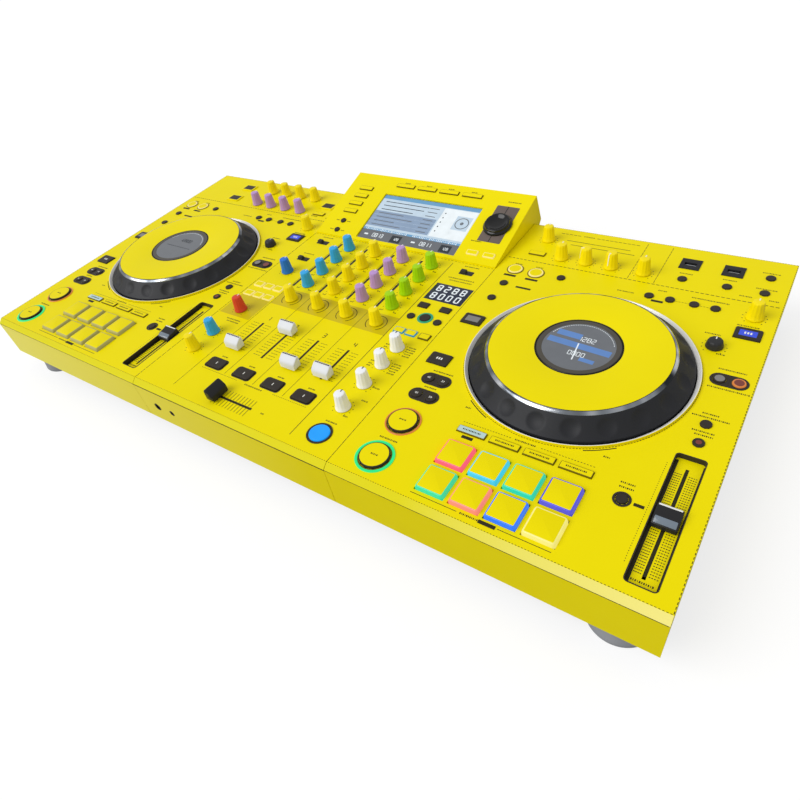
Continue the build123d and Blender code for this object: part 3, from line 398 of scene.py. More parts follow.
for x, y, wide in deck_labels:
    for hand in sides.values():
        fine_print += label(x + hand * deck_x, y, wide)
for x, y, wide in [(x + deck_x, y, wide) for x, y, wide in right_labels] + mixer_labels:
    fine_print += label(x, y, wide)
printed("fine_print", fine_print, ink)
printed("panel_rules", rules, ink)
slits = [((x, fader_y, panel), 2.8, 50, 0) for x in channels]
slits.append(((0, cross_y, panel), 52, 2.8, 0))
printed("fader_slots", slits, ink)

# Level meters, colour band and channel numbers of the mixer, printed and glazed on the same skin.
# The meters are narrow strips of dark acrylic over rows of small lamps, flush with the panel.


def lit(name, colour, glow, shade=0.4):
    """Clear plastic with a lamp behind it, brighter in some places than in others."""
    material, tree, place = start(name)
    cloud = noise(place, 90.0, 3.0)
    *parts, _ = rgb(*colour)
    glow_tone = mixed(cloud, (*[c * 0.75 for c in parts], 1), (*parts, 1))
    surface(
        tree,
        Base_Color=(*[c * shade for c in parts], 1),
        Roughness=0.25 + cloud * 0.1,
        Emission_Color=glow_tone,
        Emission_Strength=glow,
    )
    return material


olive = moulded("olive_print", (206, 186, 0), rough=0.42, mottle=0.05)
acrylic = moulded("dark_acrylic", (36, 34, 30), rough=0.2, mottle=0.1, depth=0.01)
lamp_off = moulded("lamp_off", (70, 66, 50), rough=0.3, mottle=0.1)
colour_y = depth_at(-0.074)
band = [((0, colour_y, panel), 171, 33, 0), ((-113, depth_at(-0.153), panel), 50, 40, 0)]
printed("colour_band", band, olive, thick=0.1)
meter_x, meter_y = [x - 18.4 for x in channels], depth_at(0.098)
meters = [((x, meter_y, panel), 3.2, 104, 0) for x in meter_x]
lamps = [((x, meter_y + (step - 6.5) * 7.2, panel), 1.6, 5.4, 0) for x in meter_x for step in range(14)]
printed("meter_strips", meters, acrylic, thick=0.3)
printed("meter_lamps", lamps, lamp_off, thick=0.4)

segments = {"0": "abcdef", "1": "bc", "2": "abged", "3": "abgcd", "4": "fgbc", "8": "abcdefg"}
strokes = {"a": (0, 2, 0), "b": (1, 1, 1), "c": (1, -1, 1), "d": (0, -2, 0), "e": (-1, -1, 1)}
strokes.update({"f": (-1, 1, 1), "g": (0, 0, 0)})


def digits(text, centre, high, z, weight=0.16, pitch=0.75):
    """Rows for the strokes of plain numbers, each made of up to seven bars."""
    rows, wide = [], high * 0.5
    for place, digit in enumerate(text):
        x = centre[0] + (place - (len(text) - 1) / 2) * high * pitch
        for stroke in segments[digit]:
            across, up, stands = strokes[stroke]
            at = (x + across * wide / 2, centre[1] + up * high / 4, z)
            rows.append((at, (high / 2 if stands else wide) * 0.9, high * weight, pi / 2 * stands))
    return rows


numbers = []
for i, x in enumerate(channels):
    numbers += digits(str(i + 1), (x + 1, -82), 6.4, panel, 0.12)
    numbers += arc((x, colour_y), 12.6, -60, 240, 1.9, 0.8, 40)
printed("channel_numbers", numbers, ink, thick=0.3)

# Dots round every knob but the colour knobs, printed on the skin with the rest.
# Eleven dots go most of the way round, from the lowest setting to the highest.
side_x = 112.5
left_column = {"phones_level": -0.349, "phones_mix": -0.277, "colour_depth": -0.169, "booth_level": 0.033}
speed_knob, adjust_knob = (0.4295, 0.262), (0.353, 0.1345)
strip_knobs = {
    "left": [(x, y) for x in (-0.0285, 0.070, 0.170, 0.272) for y in (0.3475, 0.434)],
    "right": [(-0.3885, 0.43), (-0.287, 0.354), (-0.1885, 0.354), (-0.09, 0.354), (0.03, 0.354)],
}
dial_at = [(x, y) for x in channels for y in eq_y]
dial_at += [(-side_x, depth_at(share)) for share in left_column.values()]
dial_at += [(side_x, depth_at(share)) for share in effect_shares.values()]
for side in sides:
    dial_at += [deck_at(side, *shares) for shares in (speed_knob, adjust_knob, *strip_knobs[side])]
dots = []
for centre in dial_at:
    dots += arc(centre, 10.9, -60, 240, 0.9, 0.9, 11)
printed("dial_dots", dots, ink)

# Screen, jog windows and effect display: clear panes, set from above into the housing, wheels and panel.
# Each is one flat pane with a dark printed border, lit from behind when the console is on.


class Shape:
    """Corners and faces of one piece, gathered form by form. Each face has the number of its finish."""

    def __init__(self):
        self.corners, self.faces, self.finishes = [], [], []

    def stack(self, outline, levels, at=Matrix(), closed=True):
        """A form with one outline at each level: inset, height, finish. If not closed, it is a ring."""
        rings = []
        for inset, height, _ in levels:
            spots = [at @ Vector((x, y, height)) for x, y in outline(inset)]
            rings.append(range(len(self.corners), len(self.corners) + len(spots)))
            self.corners += spots
        pairs = list(zip(rings, rings[1:], levels[1:]))
        if closed:
            self.faces += [tuple(rings[0])[::-1], tuple(rings[-1])]
            self.finishes += [levels[0][2], levels[-1][2]]
        else:
            pairs.append((rings[-1], rings[0], levels[0]))
        count = len(rings[0])
        for below, above, level in pairs:
            for i in range(count):
                j = (i + 1) % count
                self.faces.append((below[i], below[j], above[j], above[i]))
                self.finishes.append(level[2])


def rounded(width, deep, corner, steps=6):
    """Outline of a rectangle with round corners, at an inset."""

    def outline(inset):
        r = max(corner - inset, 0.02)
        half_x, half_y = width / 2 - inset - r, deep / 2 - inset - r
        spots = []
        for quarter, (x, y) in enumerate(((1, 1), (-1, 1), (-1, -1), (1, -1))):
            for i in range(steps + 1):
                a = (quarter + i / steps) * pi / 2
                spots.append((x * half_x + r * cos(a), y * half_y + r * sin(a)))
        return spots

    return outline


def disc(radius, steps=40):
    """Outline of a circle, at an inset."""

    def outline(inset):
        turns = [2 * pi * i / steps for i in range(steps)]
        return [((radius - inset) * cos(a), (radius - inset) * sin(a)) for a in turns]

    return outline


def make(name, shape, finishes, body, stands_for=(), smooth=35):
    """One piece from a shape. It rides on a body and may stand for CAD nodes."""
    mesh = bpy.data.meshes.new(name)
    mesh.from_pydata(shape.corners, [], shape.faces)
    mesh.transform(Matrix.Scale(mm, 4))
    for finish in finishes:
        mesh.materials.append(finish)
    mesh.polygons.foreach_set("material_index", shape.finishes)
    mesh.shade_smooth()
    mesh.set_sharp_from_angle(angle=radians(smooth))
    piece = add(name, mesh)
    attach(piece, body)
    if stands_for:
        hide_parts(*stands_for)


def spot(x, y, z=panel):
    """A place as a matrix, on the panel unless its height is given."""
    return Matrix.Translation((x, y, z))


def one_finish(levels, finish=0):
    """Levels that all have the same finish."""
    return [(inset, height, finish) for inset, height in levels]


def slab(low, high, finish, soften=0.1):
    """Levels of a plain slab with softened top edge."""
    levels = [(0, low), (0, high - soften), (soften * 0.3, high - soften * 0.3), (soften, high)]
    return one_finish(levels, finish)


face_length = 122.4
face = spot(0, 102.4, 85.5) @ Matrix.Rotation(radians(15.6), 4, "X")
screen_x, screen_y = 3.6, 0.384 * face_length
screen_size = (154, 84)
lcd_tones = {
    "pale": ((198, 218, 234), 0.85),
    "blue": ((110, 168, 212), 0.75),
    "white": ((236, 244, 248), 0.9),
    "grey": ((112, 116, 122), 0.7),
    "dark": ((44, 52, 60), 0.6),
    "steel": ((140, 162, 190), 0.85),
}
lcd = {key: lit("lcd_" + key, tone, glow, 0.2) for key, (tone, glow) in lcd_tones.items()}
plate_top = panel + 20
panes = Shape()
panes.stack(rounded(*screen_size, 1.5), slab(-4, -2, 0), face @ spot(screen_x, screen_y, 0))
rim = [(0, -2.4, 0), (0, 0, 0), (0.3, 0.3, 0), (1, 0.3, 0), (5.5, 0.3, 2), (5.7, 0.1, 2), (5.9, 0.1, 1)]
for hand in sides.values():
    panes.stack(disc(39.6, 96), rim, spot(hand * deck_x, jog_y, plate_top))
fx_x, fx_y = 114, depth_at(0.101)
panes.stack(rounded(49, 33, 1), slab(-2, 0, 3), spot(fx_x, fx_y))
smoked = moulded("smoked_acrylic", (78, 74, 66), rough=0.2, mottle=0.1, depth=0.01)
navy = moulded("navy_acrylic", (40, 46, 66), rough=0.2, mottle=0.1, depth=0.01)
make("panes", panes, [acrylic, lcd["grey"], smoked, navy], "case", ["windows"])

shown = {colour: [] for colour in lcd}


def show(colour, left, low, right, high, lift=0.0):
    """A rectangle of the screen picture, measured from the screen's lower left corner."""
    x, y = screen_x - screen_size[0] / 2, screen_y - screen_size[1] / 2
    at = (x + (left + right) / 2, y + (low + high) / 2, lift - 2)
    shown[colour].append((at, right - left, high - low, 0))


show("pale", 0.6, 0.6, 153.4, 83.4)
show("blue", 0.6, 77, 153.4, 83.4, 0.06)
show("grey", 0.6, 0.6, 153.4, 18, 0.06)
show("blue", 0.6, 18, 153.4, 21.5, 0.08)
show("white", 102, 25, 152, 76, 0.06)
for row, wide in enumerate((47, 33, 58, 41, 52, 66, 71)):
    y = 26 + row * 7.1
    show("pale" if row > 3 else "steel", 0.6, y - 0.4, 100, y + 6.4, 0.08)
    show("dark" if row > 3 else "grey", 8, y + 2.4, 8 + wide, y + 3.6, 0.12)
    show("grey", 80, y + 2.4, 95, y + 3.6, 0.12)
for row in range(5):
    show("dark", 106, 34 + row * 8, 107.6, 36 + row * 8, 0.12)
for left in (3, 79):
    for step in range(26):
        high = 0.5 + 1.3 * abs(sin(step * 1.7 + left) * cos(step * 0.6))
        show("white", left + 2 + step * 2.6, 19.7 - high, left + 3.2 + step * 2.6, 19.7 + high, 0.14)
show("pale", 126, 42, 149, 66, 0.1)
dial, figures = (screen_x + 60.5, screen_y + 12), -1.84
shown["grey"] += arc(dial, 9, 0, 360, 1.7, 1.2, 40, figures)
shown["grey"] += arc(dial, 1.5, 0, 360, 1, 2, 12, figures)
for left, text in ((8, "0813"), (84, "0811")):
    shown["white"] += digits(text, (screen_x + left - 55, screen_y - 32), 6, figures, 0.14)
    show("dark", left + 44, 3, left + 60, 15, 0.1)
    show("white", left, 8.6, left + 6, 11, 0.12)
    shown["white"] += digits("128", (screen_x + left - 25, screen_y - 33), 4, figures + 0.02, 0.14)
for colour, rows in shown.items():
    printed("screen_" + colour, rows, lcd[colour], thick=0.1, tilt=face)

window_top = plate_top + 0.1
pale_rows = []
for hand in sides.values():
    pale_rows += arc((hand * deck_x, jog_y), 32, 20, 160, 1.2, 0.5, 36, window_top)
blue_rows = [((deck_x, jog_y + 0.5, window_top), 62, 8, -0.06)]
blue_rows.append(((deck_x - 14, jog_y + 14, window_top), 24, 8, -0.06))
blue_rows.append(((deck_x + 14, jog_y - 17, window_top), 14, 5, -0.06))
pale_rows += digits("1282", (deck_x + 4, jog_y + 11), 6, window_top, 0.1)
pale_rows += digits("0000", (deck_x + 2, jog_y - 11), 5.6, window_top, 0.1)
pale_rows.append(((deck_x, jog_y - 8, window_top), 1.2, 24, 0.1))
dark_rows = digits("12800", (-deck_x, jog_y + 12), 6, window_top)
dark_rows += dashes((-deck_x - 24, jog_y - 4), (24 - deck_x, jog_y - 4), 3, 1, 1, window_top)
printed("jog_bands", blue_rows, lit("jog_blue", (96, 140, 205), 0.75, 0.2))
printed("jog_pale", pale_rows, lcd["white"], thick=0.24)
printed("jog_dark", dark_rows, lcd["dark"], thick=0.24)
rows = []
for text, rise in (("8288", 7.4), ("8000", -7.4)):
    rows += digits(text, (fx_x, fx_y + rise), 10, panel, 0.16, 1.05)
printed("fx_digits", rows, lcd["white"], thick=0.3)

# Feet: four turned blocks of grey rubber, a little wider at the ground, screwed up into the tray.
# Their edges are rounded off by the mould.
foot_rubber = moulded("foot_rubber", (160, 162, 166), rough=0.8, mottle=0.12, grain=900.0, depth=0.15)
feet, foot_r = Shape(), 29
low, high = [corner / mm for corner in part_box("feet")]
foot_levels = [(1.2, 0), (0.3, 0.3), (0, 1.2), (0.6, 5), (1.4, 11), (1.8, 14.8), (2.3, 15.7), (3, 16)]
for x in (low.x + foot_r, high.x - foot_r):
    for y in (low.y + foot_r, high.y - foot_r):
        feet.stack(disc(foot_r, 72), one_finish(foot_levels), spot(x, y, low.z))
make("foot_blocks", feet, [foot_rubber], "case", ["feet"])

# Jog wheels: a moulded grip ring with twenty scooped finger dimples and a polished band pressed over
# its shoulder. The top plate is aluminium under the same yellow skin, screwed to the ring from below.
charcoal = moulded("jog_charcoal", (34, 35, 39), rough=0.5, mottle=0.06, grain=1800.0, depth=0.08)
chrome, tree, place = start("polished_band")
across, along = [tree.node("ShaderNodeSeparateXYZ", {"Vector": place}, i) for i in range(2)]
outer = tree.maths("ABSOLUTE", across, 0.0) - deck_x * mm
bearing = tree.maths("ARCTAN2", along - jog_y * mm, outer)
sockets = {"W": bearing * 2.2, "Scale": 1.0, "Detail": 2.0}
sheen = tree.node("ShaderNodeTexNoise", sockets, noise_dimensions="1D")
# The band's colour is painted reflection: dark and bright streaks by bearing round each wheel stand for the
# room mirrored in the polished metal.
stops = [(0.34, rgb(44, 48, 52)), (0.7, rgb(250, 252, 255)), (0.5, rgb(150, 156, 164))]
painted_reflection = tree.node("ShaderNodeValToRGB", {"Fac": sheen}, stops=stops)
surface(tree, Base_Color=painted_reflection, Roughness=0.14 + sheen * 0.08, Metallic=1.0)
plate_edge = moulded("plate_edge", (60, 56, 30), rough=0.4)
dimples, per_dimple, flank_steps = 20, 22, 20
dimple_r, dimple_depth = 8.6, 1.8
skirt_r, shoulder_r = 104, 88
skirt_z, shoulder_z = 2.5, 17.5
flank = Vector((shoulder_r - skirt_r, shoulder_z - skirt_z))
outward = Vector((flank.y, -flank.x)).normalized()
profile = [(skirt_r - 6, -1), (skirt_r, -1), (skirt_r, skirt_z - 0.6)]
flank_start = len(profile)
shares = [i / flank_steps for i in range(flank_steps + 1)]
profile += [(skirt_r + flank.x * share, skirt_z + flank.y * share) for share in shares]
band_start = len(profile)
profile += [(88, 17.7), (87.5, 18.4), (86.5, 19.3), (85.7, 19.8), (85.2, 19.9), (84.9, 19.8), (84.9, 17)]
plate_levels = [(0, -2.4, 1), (0, -0.2, 1), (0.3, 0, 1), (0.7, 0, 0), (43.9, 0.15, 0), (44.5, 0, 1)]
plate_levels.append((44.5, -2.4, 1))
turns, rows = dimples * per_dimple, len(profile)
for side in sides:
    x = sides[side] * deck_x
    grip = Shape()
    for step in range(turns):
        a = 2 * pi * step / turns
        offset = ((step + per_dimple / 2) % per_dimple - per_dimple / 2) / turns * 2 * pi
        here, there = step * rows, (step + 1) % turns * rows
        for i, (r, z) in enumerate(profile):
            scoop = 0
            if flank_start <= i < band_start:
                climb = ((i - flank_start) / flank_steps - 0.5) * flank.length
                away = Vector((climb, offset * r)).length / dimple_r
                scoop = dimple_depth * max(0, 1 - away**2)
            r, z = Vector((r, z)) - outward * scoop
            grip.corners.append((x + r * cos(a), jog_y + r * sin(a), panel + z))
            j = (i + 1) % rows
            grip.faces.append((here + i, there + i, there + j, here + j))
            grip.finishes.append(1 if band_start - 1 <= i < rows - 2 else 0)
    make(side + "_jog_grip", grip, [charcoal, chrome], side + "_jog", [side + "_jog_ring"], 28)
    top = Shape()
    top.stack(disc(84.7, 160), plate_levels, spot(x, jog_y, plate_top), closed=False)
    finishes = [yellow_skin, plate_edge]
    make(side + "_jog_top", top, finishes, side + "_jog", [side + "_jog_plate"])

# Dishes under the wheels: black mouldings, each with the column of its window in the middle. The rim is
# a light ring, clear and silvered behind, not lit here, sloping in to the wheel. Its outer wall is yellow.
dish_black = moulded("dish_black", (34, 34, 36), rough=0.5)
ring_silver = moulded("ring_silver", (240, 239, 234), rough=0.3, mottle=0.04, metal=0.15)
dishes = Shape()
levels = [(1.2, -12, 0), (1.2, 0, 0), (0, 0, 2), (0, 2.5, 2), (0.3, 2.8, 2), (0.9, 2.8, 1), (3.8, -0.4, 1)]
levels += [(3.8, -9.4, 0), (73, -9.4, 0), (73, 18.2, 0)]
for hand in sides.values():
    dishes.stack(disc(ring_r, 160), levels, spot(hand * deck_x, jog_y))
make("light_rings", dishes, [dish_black, ring_silver, yellow_skin], "case", ["jog_dishes"])

# Performance pads: soft silicone keys, milky at the sides where the lamps shine through,
# with a square of the yellow skin stuck on top. On the right deck they are lit, each in its colour.
silicone = moulded("pad_silicone", (184, 178, 108), rough=0.6, mottle=0.05)
pad_colours = [(255, 92, 120), (60, 200, 235), (40, 210, 170), (80, 80, 215)]
pad_colours += [(50, 215, 160), (250, 140, 120), (40, 120, 250), (240, 230, 130)]
pad_finishes = [silicone]
pad_finishes += [lit(f"pad_light_{i + 1}", colour, 0.8) for i, colour in enumerate(pad_colours)]
pad_finishes.append(yellow_skin)
pad_top = len(pad_finishes) - 1
pad_pitch, pad_size = 32.1, 27.9
pad_y = depth_at(-0.408)
pad_sides = [(0, -2), (0, 0.4), (0.5, 2.2), (1, 3.3), (1.6, 3.75), (2.1, 3.8)]
pad_x = {side: [hand * deck_x + (i - 1.5) * pad_pitch for i in range(4)] for side, hand in sides.items()}
for side in sides:
    pads = Shape()
    for i in range(8):
        levels = one_finish(pad_sides, i + 1 if side == "right" else 0)
        levels += one_finish([(2.2, 3.9), (2.4, 3.95)], pad_top)
        at = spot(pad_x[side][i % 4], pad_y + (0.5 - i // 4) * pad_pitch)
        pads.stack(rounded(pad_size, pad_size, 3), levels, at)
    make(side + "_pad_keys", pads, pad_finishes, side + "_pad_bank", [side + "_pads"])

# Deck buttons: hard caps on rubber domes, each in its own hole. Round ones are near black; play, cue and
# the loop caps have a clear lit ring round a yellow top, with a thin ring of painted shade in the gap
# between;
# the bars over the pads are yellow, with painted shade on their sides and rim.
pointer_white = moulded("pointer_white", (236, 236, 230), rough=0.5, mottle=0.03)
soft_black = moulded("button_black", (48, 42, 36), rough=0.42, mottle=0.08)
# Dark olive is painted shade: it darkens the sides and rims of yellow caps and bars, and the gaps round
# some caps.
shade_olive = moulded("shade_olive", (112, 98, 0), rough=0.5)
key_lights = [
    ("grey_pane", (128, 126, 124), 0.15, 0.8),
    ("light_green", (30, 222, 130), 0.85, 0.4),
    ("light_orange", (222, 132, 60), 0.6, 0.4),
    ("light_red", (128, 56, 44), 0.5, 0.4),
    ("light_blue", (0, 156, 250), 0.85, 0.3),
    ("light_cream", (250, 232, 140), 0.6, 0.5),
    ("light_ice", (186, 214, 212), 0.6, 0.4),
    ("light_indigo", (44, 74, 220), 0.8, 0.3),
    ("light_cyan", (58, 146, 178), 0.7, 0.4),
    ("light_teal", (22, 156, 112), 0.7, 0.4),
]
key_finishes = [soft_black, yellow_skin, shade_olive]
key_finishes += [lit(*light) for light in key_lights]
BLACK, YELLOW, SHADE_OLIVE, GREY, GREEN, ORANGE, RED, BLUE, CREAM, ICE, INDIGO, CYAN, TEAL = range(13)
cap_rise = 1.5
cap_print = panel + cap_rise + 0.1


def cap(keys, outline, edge, top, rim, at, rise=cap_rise, root=2):
    """A button cap with softened edges, and a top inset from them."""
    soft = 0.5
    levels = [(0, -root), (0, rise - soft), (soft * 0.3, rise - soft * 0.3), (soft, rise), (rim, rise)]
    keys.stack(outline, one_finish(levels, edge) + [(rim + 0.1, rise + 0.1, top)], at)


def collar(rims, outline, width, rise, finish, at):
    """A flat ring on the panel round a button."""
    soft = 0.2
    levels = [(0, 0), (0, rise - soft), (soft, rise)]
    levels += [(width - inset, height) for inset, height in levels[::-1]]
    rims.stack(outline, one_finish(levels, finish), at, closed=False)


def half_oval(hand):
    """Outline of half an oval plate round one of a pair of caps, drawn in to the hole at a share of 1."""
    plate_r, half_gap, hole_r = 8.2, 8, 5.9
    turns = [2 * pi * i / 48 for i in range(48)]
    radii = []
    for a in turns:
        r = plate_r
        if hand * cos(a) > 0:
            r = min(half_gap / abs(cos(a)), plate_r / max(abs(sin(a)), 0.01))
        radii.append(r)

    def outline(share):
        drawn = [r + (hole_r - r) * share for r in radii]
        return [(r * cos(a), r * sin(a)) for r, a in zip(drawn, turns)]

    return outline


round_caps = [(-0.423, 0.127), (-0.423, 0.196), (-0.2345, 0.2655), (0.092, 0.2655), (0.163, 0.2655)]
round_caps += [(0.2425, 0.2655), (0.310, 0.2655), (0.4155, -0.098)]
strip_rounds = {"left": [], "right": [(0.1655, 0.358), (0.3135, 0.359), (0.432, 0.4245), (0.431, 0.36)]}
strip_windows = {"left": [(-0.215, 0.4365), (-0.215, 0.3565), (0.3925, 0.405)], "right": []}
strip_outlines = {"left": (0.3925, 0.352), "right": (-0.389, 0.3545)}
window_caps = [((-0.423, -0.134), BLACK, 2), ((-0.423, 0.028), GREY, 4), ((0.4295, 0.199), INDIGO, 4)]
cap_pairs = [(-0.379, -0.253, BLACK, BLACK), (-0.379, -0.199, BLACK, BLACK), (0.4295, 0.037, GREY, RED)]
pair_gap = 8
window_cap = rounded(23.5, 16.8, 2)
rims = Shape()
for side in sides:
    keys, key_marks, dark_marks = Shape(), [], []
    for share_y, ring, wide in ((-0.444, GREEN, 18.5), (-0.338, ORANGE, 17.4)):
        at = spot(*deck_at(side, -0.377, share_y))
        dark_marks += label(*at.translation.xy, 8, panel + 3.1)
        cap(keys, disc(14.4, 56), BLACK, YELLOW, 1, at, rise=3)
        collar(rims, disc(wide, 56), wide - 16, 1, ring, at)
        # A thin dark ring of painted shade in the gap between the lit ring and the cap.
        collar(rims, disc(15.9, 56), 1, 0.6, SHADE_OLIVE, at)
    for share_x, share_y, *tops in cap_pairs:
        x, y = deck_at(side, share_x, share_y)
        for hand, top in zip((-1, 1), tops):
            at = spot(x + hand * pair_gap, y)
            levels = one_finish([(0, 0), (0, 0.4), (0.03, 0.5), (1, 0.5), (1, 0)], BLACK)
            rims.stack(half_oval(-hand), levels, at, closed=False)
            rim = ORANGE if top == RED and side == "right" else BLACK
            cap(keys, disc(5.6), rim, top, 1.4, at)
            if top == BLACK:
                for i in (-0.9, 0.9):
                    for j in (-1, 1):
                        place = (x + hand * pair_gap + i, y + j * 0.6, cap_print)
                        key_marks.append((place, 1.7, 0.5, -hand * j * 0.7))
    for place, top, rim in window_caps:
        x, y = deck_at(side, *place)
        cap(keys, window_cap, BLACK, top, rim, spot(x, y))
        if top != GREY:
            key_marks += [((x + i * 2.6, y, cap_print), 1.5, 3, 0) for i in (-1, 0, 1)]
    for place in round_caps + strip_rounds[side]:
        cap(keys, disc(4.8), BLACK, BLACK, 0.8, spot(*deck_at(side, *place)))
    cap(keys, disc(4.8), BLACK, RED, 2.4, spot(*deck_at(side, 0.4155, -0.1495)))
    at = spot(*deck_at(side, 0.299, -0.331))
    cap(keys, disc(4.7), BLACK, BLACK, 0.9, at)
    collar(rims, disc(7.2), 2, 0.6, BLACK, at)
    for share_x in (-0.423, -0.336):
        at = spot(*deck_at(side, share_x, 0.265))
        cap(keys, disc(8.5), CREAM, YELLOW, 1.6, at)
        # A thin dark ring of painted shade in the gap round the loop cap.
        collar(rims, disc(9.8), 1, 0.8, SHADE_OLIVE, at)
    for place in strip_windows[side]:
        cap(keys, window_cap, YELLOW, BLACK, 2.4, spot(*deck_at(side, *place)))
    # Painted shade on the sides and rim of this yellow outline cap.
    cap(keys, rounded(20, 8, 1.2), SHADE_OLIVE, YELLOW, 0.6, spot(*deck_at(side, *strip_outlines[side])))
    y = depth_at(-0.304)
    for column, x in enumerate(pad_x[side]):
        # Painted shade on the sides and rim of each yellow bar over the pads.
        cap(keys, rounded(pad_size, 7.5, 1), SHADE_OLIVE, YELLOW if column else ICE, 0.6, spot(x, y))
        dark_marks += label(x, y, 18, cap_print)
    bank = side + "_button_bank"
    printed(side + "_key_marks", key_marks, pointer_white, bank)
    printed(side + "_key_print", dark_marks, ink, bank)
    make(side + "_keys", keys, key_finishes, bank, [side + "_deck_buttons"])
make("key_rims", rims, key_finishes, "case")

# Knobs: moulded grips on splined shafts, ribbed a little for the fingers, with a skirt at the foot.
# A line is moulded in a second colour down the back of each, and bends over onto its top.
pointer_black = moulded("pointer_black", (36, 36, 36), rough=0.5, mottle=0.06)
knob_colours = {
    "light_blue": (54, 166, 230),
    "yellow": (247, 225, 0),
    "purple": (186, 148, 206),
    "green": (162, 214, 4),
    "red": (214, 68, 44),
    "dark_blue": (40, 116, 210),
    "white": (242, 244, 248),
    "black": (44, 44, 46),
}
knob_finish = {
    key: moulded("knob_" + key, value, rough=0.4, mottle=0.05) for key, value in knob_colours.items()
}


def ribbed(inset):
    """Outline of a knob: round at the skirt, ribbed where it draws in."""
    knob_r, ribs, rib_depth, steps = 8, 12, 0.13, 72
    turns = [2 * pi * i / steps for i in range(steps)]
    radii = [knob_r - inset + min(inset, 1.6) * rib_depth * cos(ribs * a) for a in turns]
    return [(r * cos(a), r * sin(a)) for r, a in zip(radii, turns)]


knob_levels = [(0, 0.8), (0, 1.8), (0.2, 2.4), (0.5, 3.3), (0.8, 4.6), (1.1, 6.5), (1.7, 12), (2.3, 17.4)]
knob_levels += [(2.5, 18.6), (2.9, 19.2), (3.5, 19.4)]
low_levels = [(0, 0.8), (0, 1.8), (0.3, 3), (0.8, 5), (1.4, 7), (2.2, 7.9), (3.2, 8.2)]
top_line, back_line = rounded(1.1, 3.4, 0.3, 2), rounded(1.1, 13, 0.3, 2)


def knob(shape, x, y, grip=0, pointer=1, turn=0):
    """One knob on the panel, with its line at the back unless it is turned, in degrees to the left."""
    at = spot(x, y) @ Matrix.Rotation(radians(turn), 4, "Z")
    shape.stack(ribbed, one_finish(knob_levels, grip), at)
    shape.stack(top_line, slab(0, 0.35, pointer), at @ spot(0, 3.9, 19.2))
    lean = at @ spot(0, 6.15, 12) @ Matrix.Rotation(radians(-83.8), 4, "X")
    shape.stack(back_line, slab(0, 0.45, pointer), lean)


mixer_knobs = {}
for i, colour in enumerate(("light_blue", "yellow", "purple", "green")):
    for row, y in zip(("trim", "high", "mid", "low"), eq_y):
        mixer_knobs[f"{row}_knob_{i + 1}"] = (channels[i], y, colour)
    mixer_knobs[f"colour_knob_{i + 1}"] = (channels[i], colour_y, "yellow")
for (name, share), colour in zip(left_column.items(), ("yellow", "light_blue", "red", "dark_blue")):
    mixer_knobs[name + "_knob"] = (-side_x, depth_at(share), colour)
for name, share in effect_shares.items():
    mixer_knobs[f"fx_{name}_knob"] = (side_x, depth_at(share), "white")
for name, (x, y, colour) in mixer_knobs.items():
    grip = Shape()
    knob(grip, x, y)
    finishes = [knob_finish[colour], pointer_black if colour == "white" else pointer_white]
    body = name.replace("_knob", "")
    slot = "knob_blue" if colour == "light_blue" else "knob_" + colour
    make(body + "_grip", grip, finishes, body, [name])

# The decks' own knobs and the three slide switches. Knobs are the same moulding as the mixer's, but the
# black one beside each wheel is low and domed. The switches are short black levers in a slot.
small = Shape()
settings = {(-0.1885, 0.354): 108, (-0.09, 0.354): 165}
tones = [knob_finish["yellow"], knob_finish["purple"], knob_finish["black"], pointer_white]
YELLOW_GRIP, PURPLE_GRIP, BLACK_GRIP, WHITE_LINE = range(4)
for side in sides:
    knob(small, *deck_at(side, *speed_knob), YELLOW_GRIP, WHITE_LINE)
    at = spot(*deck_at(side, *adjust_knob))
    small.stack(ribbed, one_finish(low_levels, BLACK_GRIP), at)
    small.stack(top_line, slab(0, 0.35, WHITE_LINE), at @ spot(0, 3.2, 8))
    for place in strip_knobs[side]:
        grip = PURPLE_GRIP if side == "left" and place[1] < 0.4 else YELLOW_GRIP
        knob(small, *deck_at(side, *place), grip, WHITE_LINE, settings.get(place, 0))
nub = one_finish([(0, 0), (0.3, 2.6), (0.8, 3.8), (1.4, 4)], BLACK_GRIP)
for x, share in ((-side_x, 0.204), (-side_x, 0.106), (side_x, 0.204)):
    at = spot(x, depth_at(share))
    small.stack(rounded(18, 8, 1), slab(0, 0.4, BLACK_GRIP), at)
    small.stack(rounded(8, 6, 1), nub, at @ spot(-3.5, 0, 0))
make("small_knobs", small, tones, "case", ["small_controls"])

# Fader caps: moulded in white, with a scooped top for the finger and a black line across it.
# Each is pressed on a steel blade that comes up through the slot.
cap_white = moulded("cap_white", (217, 220, 225), rough=0.35, mottle=0.03)
cap_black = moulded("cap_black", (34, 34, 36), rough=0.35, mottle=0.06)
steel = moulded("blade_steel", (150, 152, 156), rough=0.3, mottle=0.05, metal=1.0)
along_x = Matrix(((0, 0, 1, 0), (1, 0, 0, 0), (0, 1, 0, 0), (0, 0, 0, 1)))


def profiled(shape, spots, half, ends, at):
    """A cap with one profile along its length. Its ends draw in by each inset at a run from the end."""
    middle_x = sum(x for x, _ in spots) / len(spots)
    middle_y = sum(y for _, y in spots) / len(spots)
    reach = max(abs(x - middle_x) for x, _ in spots)

    def outline(inset):
        keep = 1 - inset / reach
        return [(middle_x + (x - middle_x) * keep, middle_y + (y - middle_y) * keep) for x, y in spots]

    levels = [(inset, run - half) for inset, run in ends]
    levels += [(inset, half - run) for inset, run in ends[::-1]]
    shape.stack(outline, one_finish(levels), at @ along_x)


fader_profile = [(-5.5, 0), (5.5, 0), (5.5, 9), (5.2, 11.2), (4.6, 12.5), (3.6, 13), (2.2, 12.9)]
fader_profile += [(1.2, 12.4), (-0.6, 11), (-2.6, 9.5), (-4.4, 7.9), (-5.2, 6.6), (-5.5, 5)]


